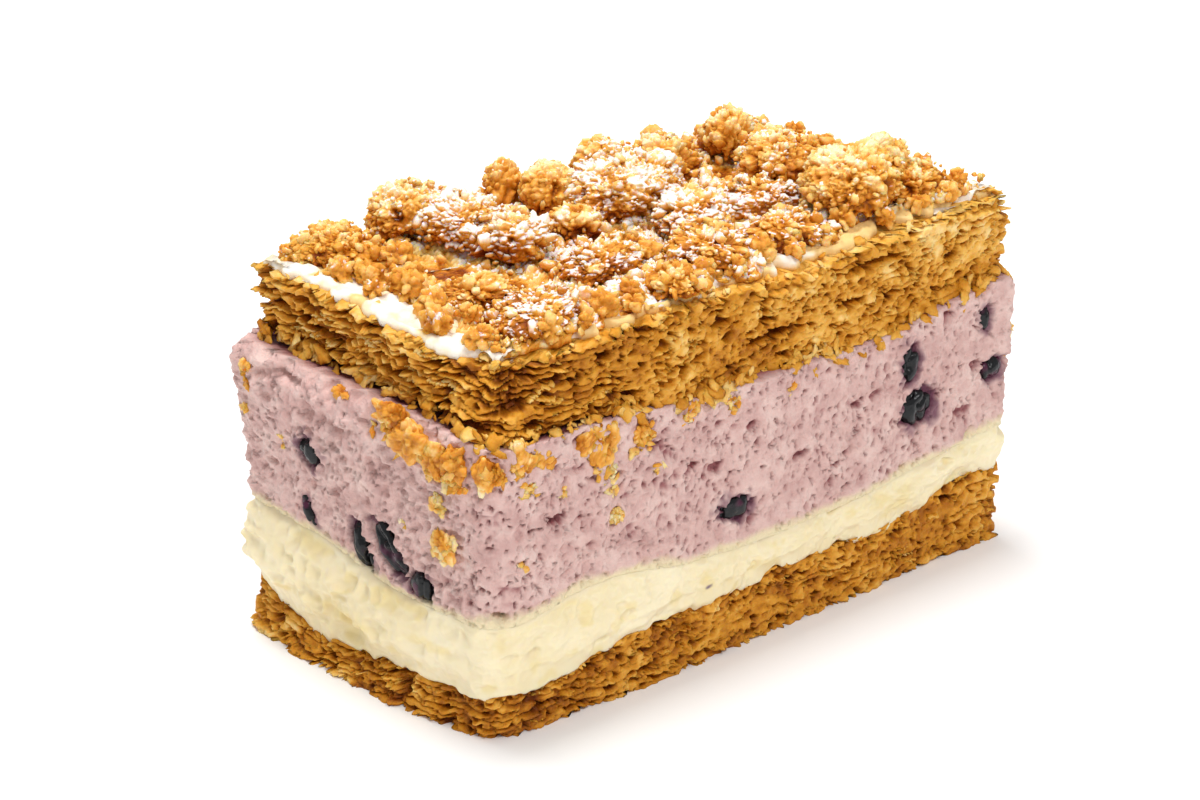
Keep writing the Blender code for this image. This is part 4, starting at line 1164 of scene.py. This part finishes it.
def build_berries():
    """Each berry is a sphere stretched to its half sizes, folded by sharp ridges of noise, its skin torn."""
    ball = unit_ball(26, 44)
    for number, (name, (x, y, z, half_x, half_y, half_z, lean)) in enumerate(BERRIES.items()):
        shaped = ball * (half_x, half_y, half_z)
        fold = 1 - np.abs(soft_noise(shaped * (1, 1, 0.35), 1.5, 70 + number))
        fine = 1 - np.abs(soft_noise(shaped * (1, 1, 0.6), 0.8, 170 + number))
        swell = 1.02 + 0.16 * soft_noise(shaped, 1.8, 90 + number) - 0.45 * fold**6 - 0.1 * fine**4
        turned = Matrix.Rotation(math.radians(-lean), 3, "X")
        placed = (shaped * swell[..., None]) @ np.array(turned).T + (x, y, z)
        flesh = eased(0.3, 0.8, soft_noise(placed, 1.6, 97))
        add_piece(name, placed[None], "berry", name, flesh=flesh[None])


# Icing and crumbs

def build_icing():
    """The icing: rings in from a ragged rounded edge over the lid, lumpy on top and lower under the bed."""
    share = side_shares(ICING_COLUMNS)
    start = lid_edge(share, 0 * share)
    ragged = (1 + 0.5 * on_front(share)) * noises(start, (1.3, 7.0, 101), (1.0, 2.2, 102))
    edge_in = np.maximum(0.8 + ragged + 0.5 * soft_noise(start, 0.9, 105), -0.3) + 1.5 * on_front(share)
    rings = [lid_edge(share, edge_in + inward) + (0, 0, lift) for inward, lift in ICING_EDGE]
    for inward in np.linspace(1.0, 13.0, ICING_RINGS):
        ring = lid_edge(share, edge_in + inward)
        under_bed = eased(0.2, 1.4, edge_in + inward - bed_edge(share))
        lumps = 0.5 * soft_noise(ring, 2.6, 103) + 0.35 * rough_noise(ring, 1.2, 104)
        ring[..., 2] += (1.35 + lumps) * (1 - 0.8 * under_bed)
        rings.append(ring)
    rings = np.stack(rings)[None]
    straw = noises(rings, (1.0, 5.0, 106), (0.5, 1.6, 107)) + 0.8 * on_front(share) - 0.45
    add_piece("icing", rings, "icing", "icing_layer", straw=eased(0.0, 0.35, straw))


def clump_points(clump, directions, swell=0.0):
    """Points on a clump: unit directions stretched to its half sizes, turned and moved to its place."""
    x, y, z, half_x, half_y, half_z, turn, _ = clump
    angle = math.radians(turn)
    local = directions * (half_x + swell, half_y + swell, half_z + swell)
    turned_x = local[..., 0] * math.cos(angle) - local[..., 1] * math.sin(angle)
    turned_y = local[..., 0] * math.sin(angle) + local[..., 1] * math.cos(angle)
    return np.stack([turned_x + x, turned_y + y, local[..., 2] + z], axis=-1)


def fused_grains(points, size, seed):
    """Height of angular grains fused together: flat-topped bits at heights of their own, creased between."""
    bent = warped(points, 0.8 * size, 0.28 * size, seed + 10)
    near, second, value = scattered_cells(bent, size, seed)
    inside = eased(0.0, 0.34 * size, second - near)
    return size * (inside * (0.2 + 0.36 * value) + 0.1 * soft_noise(points, 0.45 * size, seed + 14))


def grain_sum(points, *terms):
    """A sum of fused grains, each term a height, a size and a seed."""
    return sum(height * fused_grains(points, size, seed) for height, size, seed in terms)


def build_clump_cores():
    """The clumps: domes stretched to their half sizes, raised by fused grains and noise, less round pits."""
    for name, (least, greatest, ring_count, around) in CLUMP_PIECES.items():
        chosen = [clump for clump in CLUMPS.values() if least <= clump[3] < greatest]
        ball = unit_ball(ring_count, around, lowest=-0.55)
        rings = np.stack([clump_points(clump, ball, -1.0) for clump in chosen])
        away = unit(rings - np.array([clump[:3] for clump in chosen])[:, None, None, :])
        broad = noises(rings, (1.3, 5.0, 122), (0.7, 2.4, 123))
        grains = grain_sum(rings, (0.5, 3.0, 121), (0.7, 1.6, 124), (1.4, 0.8, 125))
        hollows = pits(warped(rings, 2.0, 0.7, 131), 3.2, 1.25, 1.3, 0.35, 127)
        rings = rings + away * (grains + broad - hollows)[..., None]
        floor = lid_height(rings[..., 0], rings[..., 1]) + OVER_ICING - 0.3
        rings[..., 2] = np.maximum(rings[..., 2], floor)
        dust = np.array([clump[7] for clump in chosen])[:, None, None] - 0.3 * (1 - eased(0.3, 1.0, grains))
        # Painted shade and light: tones fall low on the clump, in its pits and creases between grains, and
        # rise on grain tops and on what faces up
        raised = np.clip((rings[..., 2] - LEVEL_LID_TOP - 5.0) / 3.5, -1.0, 1.0)
        tone = 0.24 + 0.42 * grains - 0.3 * hollows + 0.14 * soft_noise(rings, 3.0, 128)
        tone = tone + 0.2 * raised + 0.2 * (away[..., 2] - 0.75)
        add_piece(name, rings, "crumbs", "crumb_topping", tone=tone, dust=dust)


def bed_dust(points):
    """How much sugar lies on the bed: patchy, most in the middle of the lid and little near its ends."""
    inner = np.exp(-(points[..., 0] / 42) ** 4)
    return (0.2 + 0.42 * inner) * (1 + 0.7 * soft_noise(points, 9.0, 136))


def hollow_share(x, y):
    """1 in the hollows at the feet of the clumps, which the bed paints dark as shade, and 0 elsewhere, with
    ragged edges.
    """
    ragged = noises(np.stack([x, y, 0 * x], axis=-1), (0.3, 2.4, 161), (0.2, 1.0, 162))
    deepest = np.zeros(np.shape(x))
    for middle_x, middle_y, half_length, half_width, turn in HOLLOWS:
        angle = math.radians(turn)
        along = (x - middle_x) * math.cos(angle) + (y - middle_y) * math.sin(angle)
        across = (y - middle_y) * math.cos(angle) - (x - middle_x) * math.sin(angle)
        reach = np.hypot(along / half_length, across / half_width) + ragged
        deepest = np.maximum(deepest, 1 - eased(0.65, 1.15, reach))
    return deepest


def bed_edge(share):
    """How far in from the lid's top edge the bed of crumbs begins: furthest over the two short sides."""
    start = lid_edge(share, 0 * share)
    wide = 3.2 + 3.6 * near_shelf(share) + 3.2 * np.exp(-(((share % 1 - 0.40) / 0.07) ** 4))
    return wide + noises(start, (1.9, 8.0, 131), (1.2, 3.0, 132), (0.6, 1.2, 130))


def build_crumb_bed():
    """The bed of fine crumbs: rings in over the icing from a ragged edge, raised by fused grains and noise.

    It is lower in the hollows and painted darker there as shade, and never lower than the icing.
    """
    share = side_shares(BED_COLUMNS)
    inward = 1 - np.linspace(1, 0.03, BED_RINGS) ** 1.15
    edge = lid_edge(share, bed_edge(share))
    under = edge + (0, 0, 0.2)
    rings = [under * (0.8, 0.8, 1.0), under]
    for drawn_in in inward:
        flat = edge[..., :2] * (1 - drawn_in)
        rings.append(np.column_stack([flat, lid_height(flat[:, 0], flat[:, 1])]))
    rings = np.stack(rings)[None]
    grains = grain_sum(rings, (0.5, 2.6, 133), (0.7, 1.4, 137), (1.4, 0.8, 139))
    hollows = pits(warped(rings, 2.0, 0.7, 135), 3.6, 1.2, 1.0, 0.3, 138)
    rise = np.concatenate([(0, 0), eased(0, 0.04, inward)])[:, None]
    hollow = hollow_share(rings[..., 0], rings[..., 1])
    heaped = grains - hollows + noises(rings, (0.8, 5.0, 134), (0.6, 2.4, 140))
    lift = np.maximum(OVER_ICING - 0.8 + rise * (0.1 + heaped * (1 - 0.5 * hollow)), 0.75)
    rings[..., 2] += np.where(np.arange(rings.shape[1])[:, None] < 2, 0, lift)
    # Painted shade: darker in the creases between grains, in the pits, and most in the hollows at the clumps'
    # feet
    tone = 0.36 + 0.42 * grains - 0.25 * hollows - 0.5 * hollow
    dust = bed_dust(rings) - 0.3 * (1 - eased(0.3, 1.0, grains)) - 0.8 * hollow
    add_piece("crumb_bed", rings, "crumbs", "crumb_topping", tone=tone, dust=dust)


def painted_light_above(shapes, places, radii):
    """Painted light on a crumb: 0 in its middle, rising above it and falling below, by its own radius."""
    return (shapes[..., 2] - places[:, None, None, 2]) / radii[:, None, None]


def clump_places(rng, density, swell):
    """Places spread evenly over the upper side of every clump, with each clump's dusting of sugar.

    Their number is a density times the area of an ellipsoid, 4 pi times a power mean of its axes' products.
    """
    places, dust = [], []
    for clump in CLUMPS.values():
        half_x, half_y, half_z = clump[3:6]
        pairs = (half_x * half_y, half_x * half_z, half_y * half_z)
        area = 4 * math.pi * (sum(pair**1.6 for pair in pairs) / 3) ** (1 / 1.6)
        directions = unit(rng.normal(size=(int(area * density), 3)))
        points = clump_points(clump, directions[directions[:, 2] > -0.5], swell)
        clear = 3.0 * (hollow_share(points[:, 0], points[:, 1]) > 0.3)
        above = points[:, 2] > lid_height(points[:, 0], points[:, 1]) + OVER_ICING + 0.3 + clear
        places.append(points[above])
        dust.append(np.full(above.sum(), clump[7]))
    return np.concatenate(places), np.concatenate(dust)


def bed_places(count, rng):
    """Places spread over the bed of crumbs, thinning out over the icing round it."""
    share = rng.uniform(0, 1, count)
    edge = lid_edge(share, bed_edge(share) - 1.6 * rng.uniform(0, 1, count) ** 2)
    flat = edge[:, :2] * (1 - rng.uniform(0, 1, count) ** 1.5)[:, None] ** 0.75
    flat = flat[hollow_share(flat[:, 0], flat[:, 1]) < 0.3]
    ground = lid_height(flat[:, 0], flat[:, 1]) + OVER_ICING
    return np.column_stack([flat, ground + 0.3 + 0.7 * soft_noise(np.column_stack([flat, ground]), 5.0, 134)])


def build_crumbs(rng):
    """Loose crumbs on the clumps and on the bed, large single ones, and fine grains over them all.

    A single crumb is a ball stretched at random and raised by fused grains. The others are broken crumbs, and
    those on the clumps and the bed are painted paler on their upper sides and darker below, as light from
    above.
    """
    places, dust = clump_places(rng, CLUMP_CRUMB_DENSITY, -0.4)
    radii = 0.4 + 0.9 * rng.uniform(0, 1, len(places)) ** 1.6
    shapes = crumbs_at(places, radii, rng, around=8, rings=5)
    # Crumbs lower on the clumps are painted darker, as shade
    raised = np.clip((places[:, 2] - LEVEL_LID_TOP - 5.0) / 5.0, -0.6, 0.8)
    tone = np.clip(rng.normal(0.56, 0.1, len(places)) + 0.2 * raised, 0.15, 0.85)
    tone = tone[:, None, None] + 0.16 * painted_light_above(shapes, places, radii)
    add_piece("clump_crumbs", shapes, "crumbs", "crumb_topping", tone=tone, dust=dust[:, None, None])

    places = bed_places(BED_CRUMBS, rng) - (0, 0, 0.1)
    radii = 0.4 + 1.1 * rng.uniform(0, 1, len(places)) ** 2.0
    places[:, 2] += 0.25 * radii
    shapes = crumbs_at(places, radii, rng, around=8, rings=5)
    tone = np.clip(rng.normal(0.62, 0.1, len(places)), 0.2, 0.9)
    tone = tone[:, None, None] + 0.16 * painted_light_above(shapes, places, radii)
    dust = bed_dust(places)[:, None, None]
    add_piece("bed_crumbs", shapes, "crumbs", "crumb_topping", tone=tone, dust=dust)

    x, y, radii = np.array(SINGLE_CRUMBS).T
    places = np.column_stack([x, y, lid_height(x, y) + OVER_ICING + 0.45 * radii])[:, None, None, :]
    stretch = rng.uniform(0.75, 1.1, (len(radii), 1, 1, 3))
    grown = unit_ball(22, 34)[None] * radii[:, None, None, None] * stretch + places
    away = unit(grown - grown.mean(axis=(1, 2), keepdims=True))
    grains = grain_sum(grown, (1.0, 1.9, 141), (0.8, 0.9, 142))
    grown = grown + away * (grains - 0.5)[..., None]
    # Single crumbs are painted paler on their grains' tops and darker in the creases between them, as shade
    add_piece("single_crumbs", grown, "crumbs", "crumb_topping", tone=0.35 + 0.3 * grains, dust=0.1)

    over_clumps, dust_over = clump_places(rng, CLUMP_GRAIN_DENSITY, 0.1)
    over_bed = bed_places(BED_GRAINS, rng) + (0, 0, 0.7)
    places = np.concatenate([over_clumps, over_bed])
    dust = np.concatenate([dust_over, bed_dust(over_bed)])
    radii = 0.22 + 0.3 * rng.uniform(0, 1, len(places))
    shapes = crumbs_at(places, radii, rng, around=6, rings=3, roughness=0.25)
    tone = np.clip(rng.normal(0.62, 0.12, len(places)), 0.3, 0.9)
    add_piece("fine_grains", shapes, "crumbs", "crumb_topping",
              tone=tone[:, None, None], dust=dust[:, None, None])


def browner_above(height):
    """How much darker a bit of pastry on the mousse is: rising with its height to the lid's foot."""
    return 0.2 * eased(38.0, 43.0, height)


def build_stuck_bits(rng):
    """Flakes and crumbs of pastry pressed onto the mousse: random places about the middles of the clusters.

    The wider a cluster, the larger its flakes.
    """
    places, facing, radii = [], [], []
    for x, y, z, across, up, count in STUCK_BITS:
        on_end = abs(x) > LENGTH / 2
        count = int(1.5 * count)
        spread = rng.normal(0, 0.45, (count, 3)) * ((0.4, across, up) if on_end else (across, 0.4, up))
        places.append(np.array((x, y, z)) + spread)
        away = np.array((np.sign(x), 0, 0.3)) if on_end else np.array((0, np.sign(y), 0.3))
        facing.append(away + rng.normal(0, 0.45, (count, 3)))
        radii.append(rng.uniform(0.45, 0.7 + 0.42 * min(across, up), count))
    places, facing, radii = np.concatenate(places), np.concatenate(facing), np.concatenate(radii)
    browner = browner_above(places[:, 2])
    shapes = flakes_at(places, radii, facing, rng, around=12, thickness=0.22)
    tone = np.clip(rng.normal(0.72, 0.12, len(places)), 0.35, 1.0) - browner
    add_piece("stuck_flakes", shapes, "crumbs", "berry_mousse", "pastry", tone=tone[:, None, None], dust=-0.3)

    crumbs = places + rng.normal(0, 0.6, places.shape) * (0.4, 0.4, 1.0)
    shapes = crumbs_at(crumbs, rng.uniform(0.3, 0.8, len(crumbs)), rng)
    tone = np.clip(rng.normal(0.7, 0.12, len(places)), 0.35, 1.0) - browner
    add_piece("stuck_crumbs", shapes, "crumbs", "berry_mousse", "pastry", smooth=False,
              tone=tone[:, None, None], dust=-0.3)


def build_hanging_flakes(rng):
    """Torn flakes of the lid's lowest sheet that hang over the mousse, and lumps that are stuck to it.

    A lump is a ball stretched to its half sizes, its outline and surface moved by noise and fused grains.
    """
    share = rng.uniform(0, 1, HANGING_FLAKES)
    height = smooth_round(MOUSSE_TOP, share) + rng.normal(0.3, 0.7, HANGING_FLAKES)
    out = rng.uniform(-0.7, 0.8, HANGING_FLAKES) - lid_loss(share, 0.0)
    places = on_side(share, height, out)
    facing = np.column_stack([outline(share)[1], rng.uniform(-0.3, 1.2, HANGING_FLAKES)])
    facing = facing + rng.normal(0, 0.3, (HANGING_FLAKES, 3))
    radii = rng.uniform(0.6, 1.7, HANGING_FLAKES)
    shapes = flakes_at(places, radii, facing, rng, around=12, thickness=0.2)
    tone = np.clip(rng.normal(0.66, 0.13, HANGING_FLAKES), 0.3, 1.0)
    add_piece("hanging_flakes", shapes, "pastry", "lid_pastry", tone=tone[:, None, None])

    lumps = np.array(LUMPS)[:, None, None, :]
    plain = unit_ball(30, 44)[None] * lumps[..., 3:]
    ragged = 1.05 + noises(plain + lumps[..., :3], (0.4, 2.0, 151), (0.3, 0.9, 152))
    grown = plain * ragged[..., None] + lumps[..., :3]
    grains = grain_sum(grown, (1.0, 1.7, 153), (0.9, 0.8, 154))
    grown = grown + unit(plain) * (0.5 * (grains - 0.7))[..., None]
    # Lumps are painted paler on their grains' tops and darker in the creases between them, as shade
    tone = 0.55 + 0.32 * grains + 0.22 * soft_noise(grown, 2.5, 155) - browner_above(grown[..., 2])
    add_piece("lumps", grown, "crumbs", "berry_mousse", "pastry", tone=tone, dust=-0.3)


# Floor, light and camera

def build_stage():
    """A plain pale floor, six metres square, at the height that the slice stands on."""
    bpy.ops.mesh.primitive_plane_add(size=6.0, location=(0, 0, 0))
    floor = bpy.context.object
    floor.name = "floor"
    floor.data.materials.append(MATERIALS["floor"])


def build_light():
    """A bright even room, a soft key lamp high up behind the slice, and a smaller one at the front left."""
    world = bpy.data.worlds.new("studio")
    world.use_nodes = True
    world.node_tree.nodes["Background"].inputs["Color"].default_value = (1, 1, 1, 1)
    world.node_tree.nodes["Background"].inputs["Strength"].default_value = ROOM_LIGHT
    bpy.context.scene.world = world
    bpy.context.scene.view_settings.view_transform = "Standard"
    for name, (place, size, power) in LAMPS.items():
        lamp = bpy.data.lights.new(name, "AREA")
        lamp.size = size
        lamp.energy = power
        holder = bpy.data.objects.new(name, lamp)
        bpy.context.scene.collection.objects.link(holder)
        holder.location = place
        holder.rotation_euler = (Vector((0, 0, 0.03)) - Vector(place)).to_track_quat("-Z", "Y").to_euler()


def build_camera():
    """The photo's camera: back from the slice by a turn and a height, then right and up in its own view."""
    back = Vector((
        math.sin(CAMERA_TURN) * math.cos(CAMERA_HEIGHT),
        -math.cos(CAMERA_TURN) * math.cos(CAMERA_HEIGHT),
        math.sin(CAMERA_HEIGHT),
    ))
    right = Vector((math.cos(CAMERA_TURN), math.sin(CAMERA_TURN), 0))
    up = back.cross(right)
    lens = bpy.data.cameras.new("camera")
    lens.lens = CAMERA_LENS
    lens.sensor_width = CAMERA_SENSOR
    lens.clip_start = 0.01
    lens.clip_end = 20.0
    camera = bpy.data.objects.new("camera", lens)
    bpy.context.scene.collection.objects.link(camera)
    camera.location = (back * CAMERA_DISTANCE + right * CAMERA_RIGHT + up * CAMERA_UP) * MM
    camera.rotation_euler = Matrix((right, up, back)).transposed().to_euler()
    bpy.context.scene.camera = camera


def main():
    """Builds every piece in turn, all from one seeded source of random draws, and then the stage."""
    rng = np.random.default_rng(7)
    build_pastry(rng)
    build_rim_flakes(rng)
    build_mousse()
    build_cream()
    build_berries()
    build_icing()
    build_clump_cores()
    build_crumb_bed()
    build_crumbs(rng)
    build_stuck_bits(rng)
    build_hanging_flakes(rng)
    build_stage()
    build_light()
    build_camera()


main()
